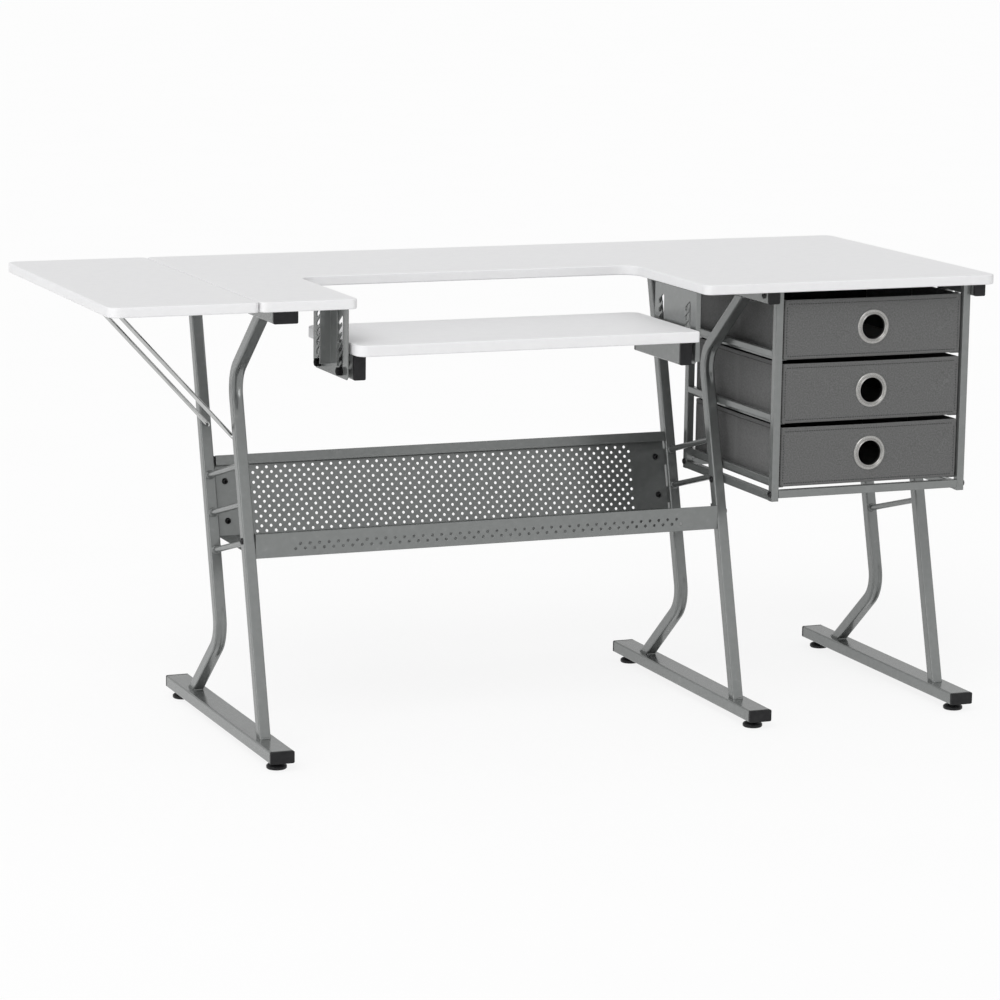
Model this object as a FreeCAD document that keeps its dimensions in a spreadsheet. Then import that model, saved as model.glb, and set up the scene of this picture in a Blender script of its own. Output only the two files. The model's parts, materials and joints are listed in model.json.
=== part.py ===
import FreeCAD, Part
import math
import os
import re
from types import SimpleNamespace

import Sketcher
from FreeCAD import Placement, Rotation, Vector

# Sewing table with a fold-down leaf, a machine platform that lifts in the top,
# three welded legs, a perforated tray and a stack of fabric drawers.
# Frame: +X right, +Y back, +Z up, origin on the floor under the middle of the top.

SIZES = {
    # Boards
    "table_width": (1528, "overall width with the leaf up"),
    "table_depth": (610, "depth of the top"),
    "table_height": (750, "floor to the top face"),
    "top_thickness": (16, "thickness of the main board and the leaf"),
    "leaf_width": (239, "width of the fold-down leaf"),
    "seam_gap": (2, "gap between leaf and main board"),
    "corner_radius": (18, "outer corners of the top"),
    "seam_corner": (10, "corners of the boards at the seam"),
    "board_edge": (2, "rounding of the board edges"),
    "cutout_offset": (159, "main board's left edge to the cut-out"),
    "cutout_width": (594, "width of the cut-out"),
    "cutout_depth": (288, "depth of the cut-out from the front edge"),
    "cutout_corner": (30, "inner corners of the cut-out"),
    "cutout_mouth": (12, "corners where the cut-out meets the front edge"),
    # Platform and its lift
    "platform_gap": (2.5, "left gap of the platform in the cut-out"),
    "platform_right_gap": (5.5, "right gap of the platform in the cut-out"),
    "platform_setback": (8, "front edge of the top to the platform"),
    "platform_depth": (250, "depth of the platform"),
    "platform_thickness": (18, "thickness of the platform"),
    "platform_corner": (18, "rounded corners of the platform"),
    "platform_front_corner": (4, "right front corner of the platform"),
    "notch_pitch": (15, "height of one lift step"),
    "notch_steps": (5, "steps from the lowest notch to flush"),
    "notch_reach": (13, "how far a notch runs back from its channel"),
    "notch_drop": (9.5, "how far a notch falls toward its end"),
    "slot_width": (8, "width of the channels and notches"),
    "arm_width": (20, "platform arm, across"),
    "arm_height": (40, "platform arm, upright"),
    "arm_length": (182, "platform arm with its end caps"),
    "left_arm_inset": (1.5, "left side of the platform to the left arm"),
    "right_arm_inset": (2.5, "right side of the platform to the right arm"),
    "arm_setback": (25, "front of the platform to the arm"),
    "arm_screw_front": (20, "front of the arm to its first screw"),
    "arm_screw_spacing": (95, "first screw of an arm to its second"),
    "pin_front": (31, "front of the arm to the first pin"),
    "pin_spacing": (103, "first pin to second pin"),
    "pin_drop": (29, "underside of the platform to the pins"),
    "pin_diameter": (6, "pin of a platform knob"),
    "knob_diameter": (14, "platform knob"),
    "knob_thickness": (9, "platform knob along its axis"),
    "pin_nut_diameter": (10, "nut on the pin, inside the arm"),
    "pin_nut_thickness": (4, "nut on the pin, inside the arm"),
    "bracket_plate": (2, "sheet of the lift brackets"),
    "left_bracket_inset": (3, "left edge of the cut-out to the left bracket"),
    "right_bracket_inset": (0.5, "right edge of the cut-out to the right bracket"),
    "bracket_depth": (160, "lift bracket, front to back"),
    "bracket_height": (117, "lift bracket, upright"),
    "bracket_front": (26, "front of the bracket to its first channel"),
    "bracket_flange": (22, "screw flange under the top"),
    "bracket_rib": (8, "front stiffening flange of the right bracket"),
    "bracket_corner": (4, "cut corner at the bracket's lower front"),
    "bracket_rear_corner": (12, "cut corner at the bracket's lower rear"),
    "left_doubler_depth": (31, "stiffening angle of the left bracket, front to back"),
    "right_doubler_depth": (56, "stiffening angle of the right bracket, front to back"),
    "doubler_proud": (20, "stiffening angles, out from the bracket"),
    "doubler_height": (98, "stiffening angles, upright"),
    # Legs
    "left_leg_offset": (43, "main board's left edge to the left leg"),
    "middle_leg_offset": (880, "main board's left edge to the middle leg"),
    "right_leg_inset": (27, "main board's right edge to the right leg"),
    "bar_height": (20, "foot bars and top bars, upright"),
    "wide_bar": (40, "foot bars and the left top bar, across"),
    "narrow_bar": (20, "middle and right top bars, across"),
    "bar_wall": (1.5, "wall of the bars"),
    "bar_corner": (2.5, "long edges of the bars"),
    "foot_setback": (18, "front edge of the top to the foot bars"),
    "foot_length": (560, "foot bar with its caps"),
    "top_bar_setback": (9, "front edge of the top to the top bars"),
    "top_bar_length": (590, "top bar with its caps"),
    "top_bolt_spacing": (430, "bolt to bolt along a top bar"),
    "cap_thickness": (5, "end cap outside the bar"),
    "cap_plug": (8, "end cap inside the bar"),
    "leg_tube": (19, "square leg tube"),
    "tube_wall": (1.5, "wall of the leg tubes"),
    "tube_corner": (2.5, "long edges of the leg tubes"),
    "leg_spacing": (188, "front tube to back tube, level"),
    "leg_lean": (15, "degrees the tubes lean back"),
    "leg_branch": (50, "degrees of the bent ends from upright"),
    "leg_bend_rise": (222.7, "leg centre to the middle of the bend"),
    "leg_bend_radius": (55, "bend of the leg tubes"),
    "rung_diameter": (10, "round rungs of the legs"),
    "rung_pitch": (62, "rung to rung along the tubes"),
    "glide_height": (14, "floor to the foot bars"),
    "glide_base": (33, "foot disc of a glide"),
    "glide_bevel": (1.5, "bevel under a foot disc"),
    "glide_rim": (5, "floor to the rim of a foot disc"),
    "glide_crown": (4, "rim of a foot disc up to its neck"),
    "glide_neck": (15, "neck of a glide"),
    "glide_stud": (8, "threaded stud of a glide"),
    "glide_stud_length": (16, "stud above the neck"),
    "glide_inset": (30, "end of the foot bar to the glide"),
    "glide_nut": (15, "nut of a glide across corners"),
    "glide_nut_height": (7, "nut of a glide"),
    # Leaf hinges and the strut that holds the leaf
    "hinge_length": (64, "hinge along the seam"),
    "hinge_spacing": (420, "hinge to hinge"),
    "hinge_plate": (1.6, "sheet of the hinges"),
    "hinge_leaf_width": (20, "hinge plate from the axis"),
    "hinge_screw_reach": (13, "hinge axis to the hinge screws"),
    "hinge_knuckle": (8, "knuckle of the hinges"),
    "hinge_drop": (4.5, "underside of the top to the hinge axis"),
    "hinge_pin": (4, "pin of the hinges"),
    "bail_rod": (7, "rod of the leaf strut"),
    "bail_width": (133, "arm to arm of the strut"),
    "bail_offset": (32, "leg centre to the middle of the strut"),
    "bail_pivot_rise": (120, "leg centre up to the strut's pivot"),
    "bail_reach": (218, "strut pivot to its crossbar, level"),
    "bail_bend": (12, "bends of the strut"),
    "bail_tongue": (7, "strut end inside its tube"),
    "stop_length": (40, "stop block along the crossbar"),
    "stop_width": (14, "stop block across"),
    "stop_height": (11, "stop block below the leaf"),
    # Tray
    "tray_sheet": (1.2, "sheet of the tray"),
    "tray_drop": (62, "leg centre down to the tray's floor"),
    "tray_lip_height": (39, "front lip above the floor"),
    "tray_lip_front": (115, "leg centre forward to the lip"),
    "tray_panel_rise": (128, "back panel above the floor"),
    "tray_hem_depth": (12, "hem of the panel, forward"),
    "tray_hem_drop": (16, "hem of the panel, down"),
    "tray_end_gap": (2, "end of the back panel to the legs"),
    "tray_hole": (5, "round holes of the tray"),
    "tray_pitch": (16.25, "hole to hole in a row"),
    "tray_columns": (43, "holes in a long row"),
    "panel_rows": (14, "rows of holes in the panel"),
    "panel_row_start": (5, "bend to the first row in the panel"),
    "lip_rows": (2, "rows of holes in the lip"),
    "lip_row_start": (12, "floor to the first row in the lip"),
    "ear_depth": (24, "bolting ear at each end of the lip"),
    "ear_height": (24, "bolting ear at each end of the lip"),
    "tab_width": (35, "welded tab behind the panel"),
    "tab_height": (28, "welded tab, upright"),
    "tab_thickness": (3, "welded tab"),
    "tab_spacing": (66, "tab to tab on one tube"),
    "tab_drop": (7, "leg centre down to the middle of the tabs"),
    "tab_bolt_reach": (18, "tube face to the tab bolt"),
    # Drawer frame and drawers
    "post_size": (13, "square posts and rails of the drawer frame"),
    "post_wall": (1.2, "wall of the posts and rails"),
    "post_corner": (1.5, "long edges of the posts and rails"),
    "drawer_frame_setback": (21, "front edge of the top to the drawer frame"),
    "drawer_frame_depth": (345, "drawer frame, front to back"),
    "drawer_frame_height": (349, "drawer frame below the top"),
    "front_rail_lift": (5, "frame bottom to the front and back rails"),
    "frame_bolt_rise": (13, "underside of the top bars to the frame's upper bolts"),
    "runner_height": (11, "side runners beside each drawer"),
    "runner_lift": (6.5, "underside of the ledge to the runner"),
    "runner_ledge": (14, "ledge that carries a drawer"),
    "ledge_thickness": (2, "ledge that carries a drawer"),
    "drawer_top_gap": (16, "underside of the top to the uppermost drawer"),
    "drawer_pitch": (105.5, "drawer to drawer"),
    "drawer_count": (3, "drawers in the stack"),
    "drawer_height": (99, "fabric drawer"),
    "drawer_depth": (330, "fabric drawer, front to back"),
    "drawer_side_gap": (3.5, "post to drawer"),
    "drawer_setback": (3, "posts' front to the drawer"),
    "drawer_wall": (3, "fabric walls"),
    "drawer_corner": (4, "upright corners of a drawer"),
    "base_board": (2.5, "loose board on the drawer's floor"),
    "base_margin": (1, "loose board to the fabric walls"),
    "grommet_outer": (57, "ring around the finger hole"),
    "grommet_bore": (41, "finger hole"),
    "grommet_neck": (44.6, "ring where it passes the fabric"),
    "grommet_face": (2.2, "ring in front of the fabric"),
    "grommet_back": (1.4, "ring behind the fabric"),
    "grommet_washer": (53, "back of the ring"),
    # Fasteners and fits
    "bolt_diameter": (5, "bolts of the frame"),
    "bolt_head": (11, "bolt heads"),
    "bolt_head_height": (3, "bolt heads"),
    "screw_diameter": (3.5, "wood screws"),
    "screw_head": (7.5, "wood screw heads"),
    "screw_head_height": (2, "wood screw heads"),
    "screw_length": (11, "wood screws under the head"),
    "fixed_fit": (0.1, "all-round clearance of fasteners and plugs"),
    "running_fit": (0.05, "radial clearance of pins and studs that turn"),
    "seat_gap": (0.3, "clearance between pieces that slide or sit close"),
}

doc = FreeCAD.newDocument("sewing_table")
sheet = doc.addObject("Spreadsheet::Sheet", "sizes")
for row, (alias, (value, meaning)) in enumerate(SIZES.items(), start=1):
    sheet.set(f"A{row}", meaning)
    sheet.set(f"B{row}", str(value))
    sheet.setAlias(f"B{row}", alias)
doc.recompute()
dim = SimpleNamespace(**{alias: float(sheet.get(alias)) for alias in SIZES})

X_AXIS = Vector(1, 0, 0)
Y_AXIS = Vector(0, 1, 0)
Z_AXIS = Vector(0, 0, 1)
ROUGH = 9.0  # any length, until the sheet's size takes its place
nodes = []


# Helpers that tie objects to the sheet

def formula(words):
    """Point each size named in a formula at its cell."""
    return re.sub(r"[a-z_]+", lambda word: ("sizes." if word[0] in SIZES else "") + word[0], words)


def node(label, item):
    """Name a finished sub-part and put it on the list to hand over."""
    item.Label = label
    nodes.append(item)
    return item


def primitive(kind, name, at, turn=Rotation(), **sizes):
    """Add a Part primitive whose sizes follow the sheet."""
    item = doc.addObject("Part::" + kind, name)
    for size, words in sizes.items():
        item.setExpression(size, formula(words))
    item.Placement = Placement(Vector(at), turn)
    return item


def rod(name, at, direction, diameter, length):
    """Add a cylinder that starts at a point and runs along a direction."""
    turn = Rotation(Z_AXIS, Vector(direction))
    return primitive("Cylinder", name, at, turn, Radius=f"({diameter}) / 2", Height=length)


def fused(name, items):
    """Join several items into one solid."""
    item = doc.addObject("Part::MultiFuse", name)
    item.Shapes = items
    return item


def cut(name, base, tools):
    """Take one or more tools away from a base."""
    item = doc.addObject("Part::Cut", name)
    item.Base = base
    item.Tool = tools[0] if len(tools) == 1 else fused(name + "_tools", tools)
    return item


def group(label, items):
    """Keep several separate solids in one node."""
    item = doc.addObject("Part::Compound", label + "_group")
    item.Links = items
    return node(label, item)


def bolt(name, at, direction, length):
    """A bolt with the underside of its head at a point."""
    head_at = Vector(at) - Vector(direction) * dim.bolt_head_height
    head = rod(name + "_head", head_at, direction, "bolt_head", "bolt_head_height")
    return fused(name, [head, rod(name + "_shank", at, direction, "bolt_diameter", length)])


def bolt_bore(name, at, direction, length):
    """The hole for a bolt."""
    return rod(name, at, direction, "bolt_diameter + 2 * fixed_fit", length)


def wood_screw(name, at, length="screw_length"):
    """A screw driven straight up, with the underside of its head at a point."""
    head_at = Vector(at) - Z_AXIS * dim.screw_head_height
    head = rod(name + "_head", head_at, Z_AXIS, "screw_head", "screw_head_height")
    return fused(name, [head, rod(name + "_shank", at, Z_AXIS, "screw_diameter", length)])


def screw_bore(name, at, length="screw_length"):
    """The hole for a wood screw through a plate or a bar."""
    return rod(name, at, Z_AXIS, "screw_diameter + 2 * fixed_fit", length)


# Helpers for bodies made from sketches

def new_body(name):
    return doc.addObject("PartDesign::Body", name + "_body")


def sketch_on(body, role, name, lift=None):
    """Add a sketch on one of the body's own planes, lifted along its normal."""
    plane = next(item for item in body.Origin.OriginFeatures if item.Role == role)
    sketch = body.newObject("Sketcher::SketchObject", name)
    sketch.AttachmentSupport = [(plane, "")]
    sketch.MapMode = "FlatFace"
    if lift:
        sketch.setExpression("AttachmentOffset.Base.z", formula(lift))
    return sketch


def rectangle(sketch, width, depth, left=None, front=None):
    """Draw a rectangle held by four sizes; its low corner defaults to the origin."""
    corners = [Vector(0, 0), Vector(ROUGH, 0), Vector(ROUGH, ROUGH), Vector(0, ROUGH)]
    for index in range(4):
        sketch.addGeometry(Part.LineSegment(corners[index], corners[(index + 1) % 4]))
    for index in range(4):
        sketch.addConstraint(Sketcher.Constraint("Coincident", index, 2, (index + 1) % 4, 1))
    for index in (0, 2):
        sketch.addConstraint(Sketcher.Constraint("Horizontal", index))
        sketch.addConstraint(Sketcher.Constraint("Vertical", index + 1))
    rules = [("DistanceX", (0, 1, 0, 2), width), ("DistanceY", (1, 1, 1, 2), depth)]
    for words, axis, kind in ((left, -2, "DistanceX"), (front, -1, "DistanceY")):
        if words:
            rules.append((kind, (-1, 1, 0, 1), words))
        else:
            sketch.addConstraint(Sketcher.Constraint("PointOnObject", 0, 1, axis))
    for kind, places, words in rules:
        index = sketch.addConstraint(Sketcher.Constraint(kind, *places, ROUGH))
        sketch.setExpression(f"Constraints[{index}]", formula(words))


def outline(sketch, points):
    """Draw a closed outline of straight lines."""
    corners = [Vector(u, v) for u, v in points]
    for start, end in zip(corners, corners[1:] + corners[:1]):
        sketch.addGeometry(Part.LineSegment(start, end))


def obround(sketch, start, end, radius):
    """Draw a slot with round ends between two centres."""
    start, end = Vector(*start), Vector(*end)
    angle = math.atan2(end.y - start.y, end.x - start.x)
    side = Vector(-math.sin(angle), math.cos(angle)) * radius
    for centre, turn in ((start, angle + math.pi / 2), (end, angle - math.pi / 2)):
        circle = Part.Circle(centre, Z_AXIS, radius)
        sketch.addGeometry(Part.ArcOfCircle(circle, turn, turn + math.pi))
    sketch.addGeometry(Part.LineSegment(start - side, end - side))
    sketch.addGeometry(Part.LineSegment(end + side, start + side))


def circles(sketch, centres, diameter):
    """Draw equal circles held to one diameter."""
    for index, (u, v) in enumerate(centres):
        sketch.addGeometry(Part.Circle(Vector(u, v), Z_AXIS, ROUGH))
        if index:
            sketch.addConstraint(Sketcher.Constraint("Equal", 0, index))
    rule = sketch.addConstraint(Sketcher.Constraint("Diameter", 0, 2 * ROUGH))
    sketch.setExpression(f"Constraints[{rule}]", formula(diameter))


def pad(body, sketch, length):
    feature = body.newObject("PartDesign::Pad", sketch.Name + "_pad")
    feature.Profile = sketch
    feature.setExpression("Length", formula(length))
    doc.recompute()
    return feature


def pocket(body, sketch, length=None, forward=True):
    """Cut a sketch out along its normal, or all the way, and make sure it cut."""
    doc.recompute()
    before = body.Shape.Volume
    feature = body.newObject("PartDesign::Pocket", sketch.Name + "_pocket")
    feature.Profile = sketch
    feature.Reversed = forward
    if length:
        feature.setExpression("Length", formula(length))
    else:
        feature.Type = "ThroughAll"
    doc.recompute()
    if not body.Shape.Volume < before:
        raise RuntimeError(feature.Name + " removed nothing")
    return feature


def revolve(body, sketch, axis):
    feature = body.newObject("PartDesign::Revolution", sketch.Name + "_turned")
    feature.Profile = sketch
    feature.ReferenceAxis = (sketch, [axis])
    feature.Angle = 360
    doc.recompute()
    return feature


def round_edges(body, name, radius, wanted):
    """Fillet the edges of the body that a test picks out."""
    base = body.Tip
    picked = [f"Edge{index}" for index, edge in enumerate(base.Shape.Edges, 1) if wanted(edge)]
    feature = body.newObject("PartDesign::Fillet", name)
    feature.Base = (base, picked)
    feature.setExpression("Radius", formula(radius))
    doc.recompute()
    return feature


def upright_at(places):
    """Test for upright edges that stand on any of the given points."""
    def test(edge):
        middle = edge.CenterOfMass
        tall = edge.BoundBox.ZLength > edge.BoundBox.DiagonalLength * 0.999
        return tall and any(math.hypot(middle.x - x, middle.y - y) < 0.01 for x, y in places)
    return test


def level_edges(edge):
    return edge.BoundBox.ZLength < 0.001


def stock(name, at, along, length, width, height, corner):
    """A length of bar along X, Y or Z with rounded long edges, its low corner at a point."""
    plane = {"X": "YZ_Plane", "Y": "XZ_Plane", "Z": "XY_Plane"}[along]
    body = new_body(name)
    section = sketch_on(body, plane, name + "_section")
    rectangle(section, width, height)
    run = pad(body, section, length)
    run.Reversed = along == "Y"
    doc.recompute()
    round_edges(body, name + "_corners", corner,
                lambda edge: getattr(edge.BoundBox, along + "Length") > 0.001)
    body.Placement = Placement(Vector(at), Rotation())
    return body


# Places that several pieces share

half_width = dim.table_width / 2
front = -dim.table_depth / 2
underside = dim.table_height - dim.top_thickness
main_left = -half_width + dim.leaf_width + dim.seam_gap
main_width = half_width - main_left
seam_x = main_left - dim.seam_gap / 2
cutout_left = main_left + dim.cutout_offset
cutout_right = cutout_left + dim.cutout_width

leg_x = {
    "left": main_left + dim.left_leg_offset,
    "middle": main_left + dim.middle_leg_offset,
    "right": half_width - dim.right_leg_inset,
}
bar_width = {"left": "wide_bar", "middle": "narrow_bar", "right": "narrow_bar"}
half_tube = dim.leg_tube / 2
foot_front = front + dim.foot_setback
foot_top = dim.glide_height + dim.bar_height
bar_bottom = underside - dim.bar_height
bar_front = front + dim.top_bar_setback
leg_y = foot_front + dim.foot_length / 2
leg_z = (foot_top + bar_bottom) / 2
lean = math.radians(dim.leg_lean)
branch = math.radians(dim.leg_branch)
lean_turn = Rotation(X_AXIS, -dim.leg_lean)
along_tube = lean_turn.multVec(Z_AXIS)
across_tube = lean_turn.multVec(Y_AXIS)


def front_tube_y(height):
    """Middle of the straight part of a front tube at a height above the floor."""
    return leg_y - dim.leg_spacing / 2 + (height - leg_z) * math.tan(lean)


glide_places = [foot_front + dim.glide_inset, foot_front + dim.foot_length - dim.glide_inset]
tray_floor = leg_z - dim.tray_drop
lip_bolt_z = tray_floor + dim.tray_lip_height - dim.ear_height / 2

platform_bottom = dim.table_height - dim.notch_steps * dim.notch_pitch - dim.platform_thickness
platform_left = cutout_left + dim.platform_gap
platform_front = front + dim.platform_setback
arm_bottom = platform_bottom - dim.arm_height
arm_front = platform_front + dim.arm_setback
pin_height = platform_bottom - dim.pin_drop
pin_places = [arm_front + dim.pin_front + step * dim.pin_spacing for step in (0, 1)]
arm_left = {
    "left": platform_left + dim.left_arm_inset,
    "right": cutout_right - dim.platform_right_gap - dim.right_arm_inset - dim.arm_width,
}
arm_outer = {"left": arm_left["left"], "right": arm_left["right"] + dim.arm_width}
bracket_front = pin_places[0] - dim.bracket_front
bracket_bottom = underside - dim.bracket_height
bracket_inner = {
    "left": cutout_left - dim.left_bracket_inset,
    "right": cutout_right + dim.right_bracket_inset,
}
bracket_left = {
    "left": bracket_inner["left"] - dim.bracket_flange,
    "right": bracket_inner["right"],
}
outward = {"left": -1, "right": 1}

hinge_height = underside - dim.hinge_drop
hinge_starts = [side * dim.hinge_spacing / 2 - dim.hinge_length / 2 for side in (-1, 1)]
hinge_screw_y = [start + dim.hinge_length * share for start in hinge_starts for share in (0.2, 0.8)]
bail_y = leg_y + dim.bail_offset
bail_pivot_z = leg_z + dim.bail_pivot_rise
bail_bar_x = leg_x["left"] - dim.bail_reach
bail_bar_z = underside - dim.bail_rod / 2 - dim.seat_gap
stop_left = bail_bar_x + dim.bail_rod / 2 + dim.seat_gap
stop_screw_places = [
    (stop_left + dim.stop_width / 2, bail_y + side * dim.stop_length / 4) for side in (-1, 1)
]

frame_left = leg_x["middle"] + dim.narrow_bar / 2 + dim.seat_gap
frame_right = leg_x["right"] - dim.narrow_bar / 2 - dim.seat_gap
frame_front = front + dim.drawer_frame_setback
frame_back = frame_front + dim.drawer_frame_depth
post_x = {"left": frame_left, "right": frame_right - dim.post_size}
post_y = {"front": frame_front, "back": frame_back - dim.post_size}
half_post = dim.post_size / 2
frame_bottom = underside - dim.drawer_frame_height
side_rail_z = frame_bottom + half_post
frame_bolt_z = bar_bottom + dim.frame_bolt_rise
CLEAR_WIDTH = ("(table_width - leaf_width - seam_gap - middle_leg_offset - right_leg_inset"
               " - narrow_bar - 2 * seat_gap - 2 * post_size)")
DRAWER_WIDTH = CLEAR_WIDTH[:-1] + " - 2 * drawer_side_gap)"
clear_width = frame_right - frame_left - 2 * dim.post_size
drawer_width = clear_width - 2 * dim.drawer_side_gap
top_drawer_z = underside - dim.drawer_top_gap - dim.drawer_height
drawer_levels = [top_drawer_z - index * dim.drawer_pitch for index in range(int(dim.drawer_count))]

flange_screw_x = {
    "left": bracket_left["left"] + dim.bracket_flange * 0.45,
    "right": bracket_left["right"] + dim.bracket_flange * 0.55,
}
flange_screw_places = [
    (flange_screw_x[side], bracket_front + dim.bracket_depth * share)
    for side in ("left", "right") for share in (0.12, 0.88)
]
top_bolt_y = [leg_y + side * dim.top_bolt_spacing / 2 for side in (-1, 1)]
top_bolt_places = [(leg_x[side], y) for side in leg_x for y in top_bolt_y]


# Top boards

def make_main_top():
    body = new_body("main_top")
    board = sketch_on(body, "XY_Plane", "main_board")
    rectangle(board, "table_width - leaf_width - seam_gap", "table_depth")
    pad(body, board, "top_thickness")
    opening = sketch_on(body, "XY_Plane", "main_cutout")
    rectangle(opening, "cutout_width", "cutout_depth", left="cutout_offset")
    pocket(body, opening)
    near, far = dim.cutout_offset, dim.cutout_offset + dim.cutout_width
    depth = dim.table_depth
    outer = [(main_width, 0), (main_width, depth)]
    round_edges(body, "main_outer_corners", "corner_radius", upright_at(outer))
    round_edges(body, "main_seam_corners", "seam_corner", upright_at([(0, 0), (0, depth)]))
    inner = [(near, dim.cutout_depth), (far, dim.cutout_depth)]
    round_edges(body, "cutout_corners", "cutout_corner", upright_at(inner))
    round_edges(body, "cutout_mouths", "cutout_mouth", upright_at([(near, 0), (far, 0)]))
    round_edges(body, "main_board_edges", "board_edge", level_edges)
    screws = [(seam_x + dim.hinge_screw_reach, y) for y in hinge_screw_y] + flange_screw_places
    bores = sketch_on(body, "XY_Plane", "main_screw_bores")
    circles(bores, [(x - main_left, y - front) for x, y in screws], "screw_diameter + 2 * fixed_fit")
    pocket(body, bores, "screw_length")
    bores = sketch_on(body, "XY_Plane", "main_bolt_bores")
    circles(bores, [(x - main_left, y - front) for x, y in top_bolt_places], "bolt_diameter + 2 * fixed_fit")
    pocket(body, bores, "top_thickness - bolt_head_height")
    body.Placement = Placement(Vector(main_left, front, underside), Rotation())
    node("main_top", body)


def make_leaf_board():
    body = new_body("leaf_board")
    board = sketch_on(body, "XY_Plane", "leaf_outline")
    rectangle(board, "leaf_width", "table_depth")
    pad(body, board, "top_thickness")
    width, depth = dim.leaf_width, dim.table_depth
    round_edges(body, "leaf_outer_corners", "corner_radius", upright_at([(0, 0), (0, depth)]))
    round_edges(body, "leaf_seam_corners", "seam_corner", upright_at([(width, 0), (width, depth)]))
    round_edges(body, "leaf_board_edges", "board_edge", level_edges)
    screws = [(seam_x - dim.hinge_screw_reach, y) for y in hinge_screw_y] + stop_screw_places
    bores = sketch_on(body, "XY_Plane", "leaf_screw_bores")
    circles(bores, [(x + half_width, y - front) for x, y in screws], "screw_diameter + 2 * fixed_fit")
    pocket(body, bores, "screw_length")
    body.Placement = Placement(Vector(-half_width, front, underside), Rotation())
    node("leaf_board", body)


# Machine platform

def make_platform():
    arm_middle = {side: arm_left[side] + dim.arm_width / 2 for side in arm_left}
    screw_y = [arm_front + dim.arm_screw_front + step * dim.arm_screw_spacing for step in (0, 1)]
    body = new_body("platform_board")
    board = sketch_on(body, "XY_Plane", "platform_outline")
    rectangle(board, "cutout_width - platform_gap - platform_right_gap", "platform_depth")
    pad(body, board, "platform_thickness")
    width, depth = dim.cutout_width - dim.platform_gap - dim.platform_right_gap, dim.platform_depth
    corners = [(0, 0), (0, depth), (width, depth)]
    round_edges(body, "platform_corners", "platform_corner", upright_at(corners))
    round_edges(body, "platform_front_corner", "platform_front_corner", upright_at([(width, 0)]))
    round_edges(body, "platform_edges", "board_edge", level_edges)
    bores = sketch_on(body, "XY_Plane", "platform_screw_bores")
    places = [(arm_middle[side] - platform_left, y - platform_front) for side in arm_left for y in screw_y]
    circles(bores, places, "screw_diameter + 2 * fixed_fit")
    pocket(body, bores, "screw_length")
    body.Placement = Placement(Vector(platform_left, platform_front, platform_bottom), Rotation())
    node("platform_board", body)

    screws, caps = [], []
    for side in arm_left:
        x, middle = arm_left[side], arm_middle[side]
        name = "platform_arm_" + side
        start = (x, arm_front + dim.cap_thickness, arm_bottom)
        tube_length = "arm_length - 2 * cap_thickness"
        outer = stock(name + "_outer", start, "Y", tube_length, "arm_width", "arm_height", "bar_corner")
        hollow = primitive("Box", name + "_hollow", Vector(start) + Vector(dim.bar_wall, 0, dim.bar_wall),
                           Length="arm_width - 2 * bar_wall", Width=tube_length,
                           Height="arm_height - 2 * bar_wall")
        tools = [hollow]
        for index, y in enumerate(pin_places):
            tools.append(rod(f"{name}_pin_bore_{index}", (arm_outer[side], y, pin_height),
                             X_AXIS * -outward[side], "pin_diameter + 2 * running_fit", "2 * bar_wall"))
        for index, y in enumerate(screw_y):
            seat = (middle, y, arm_bottom)
            screws.append(wood_screw(f"{name}_screw_{index}", seat, "arm_height + screw_length"))
            tools.append(screw_bore(f"{name}_screw_bore_{index}", seat, "arm_height"))
        node(name, cut(name + "_tube", outer, tools))
        caps += end_caps(name, x, arm_front, arm_bottom, "arm_width", "arm_height", "arm_length")
    group("platform_arm_caps", caps)
    group("platform_screws", screws)


def end_caps(name, x, y, z, width, height, length):
    """Two plugs that close a hollow bar lying along Y."""
    caps = []
    far = getattr(dim, length) - dim.cap_thickness
    inset = dim.bar_wall + dim.fixed_fit
    plug_starts = (dim.cap_thickness, far - dim.cap_plug)
    for index, (face_y, plug_y) in enumerate(zip((0, far), plug_starts)):
        face = stock(f"{name}_cap_{index}_face", (x, y + face_y, z), "Y", "cap_thickness", width, height,
                     "bar_corner")
        plug = primitive("Box", f"{name}_cap_{index}_plug", (x + inset, y + plug_y, z + inset),
                         Length=width + " - 2 * bar_wall - 2 * fixed_fit", Width="cap_plug",
                         Height=height + " - 2 * bar_wall - 2 * fixed_fit")
        caps.append(fused(f"{name}_cap_{index}", [face, plug]))
    return caps


def make_knobs():
    """Clamping knobs, each with its pin through the bracket and a nut inside the arm."""
    number = 0
    for side, turn in (("left", Rotation(Z_AXIS, 180)), ("right", Rotation())):
        seat_x = bracket_inner[side] + outward[side] * (dim.bracket_plate + dim.seat_gap)
        through = abs(seat_x - arm_outer[side]) + dim.bar_wall + dim.seat_gap
        for y in pin_places:
            number += 1
            name = f"knob_{number}"
            body = new_body(name)
            half = sketch_on(body, "XZ_Plane", name + "_half")
            pin, nut, grip = dim.pin_diameter / 2, dim.pin_nut_diameter / 2, dim.knob_diameter / 2
            inner_end = -through - dim.pin_nut_thickness
            outline(half, [(inner_end, 0), (inner_end, nut), (-through, nut), (-through, pin), (0, pin),
                           (0, grip), (dim.knob_thickness, grip), (dim.knob_thickness, 0)])
            revolve(body, half, "H_Axis")
            rim = dim.knob_thickness
            round_edges(body, name + "_rim", "knob_thickness / 6",
                        lambda edge: abs(edge.BoundBox.XMax - rim) < 0.01 and edge.BoundBox.XLength < 0.01)
            body.Placement = Placement(Vector(seat_x, y, pin_height), turn)
            node(name, body)


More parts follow.
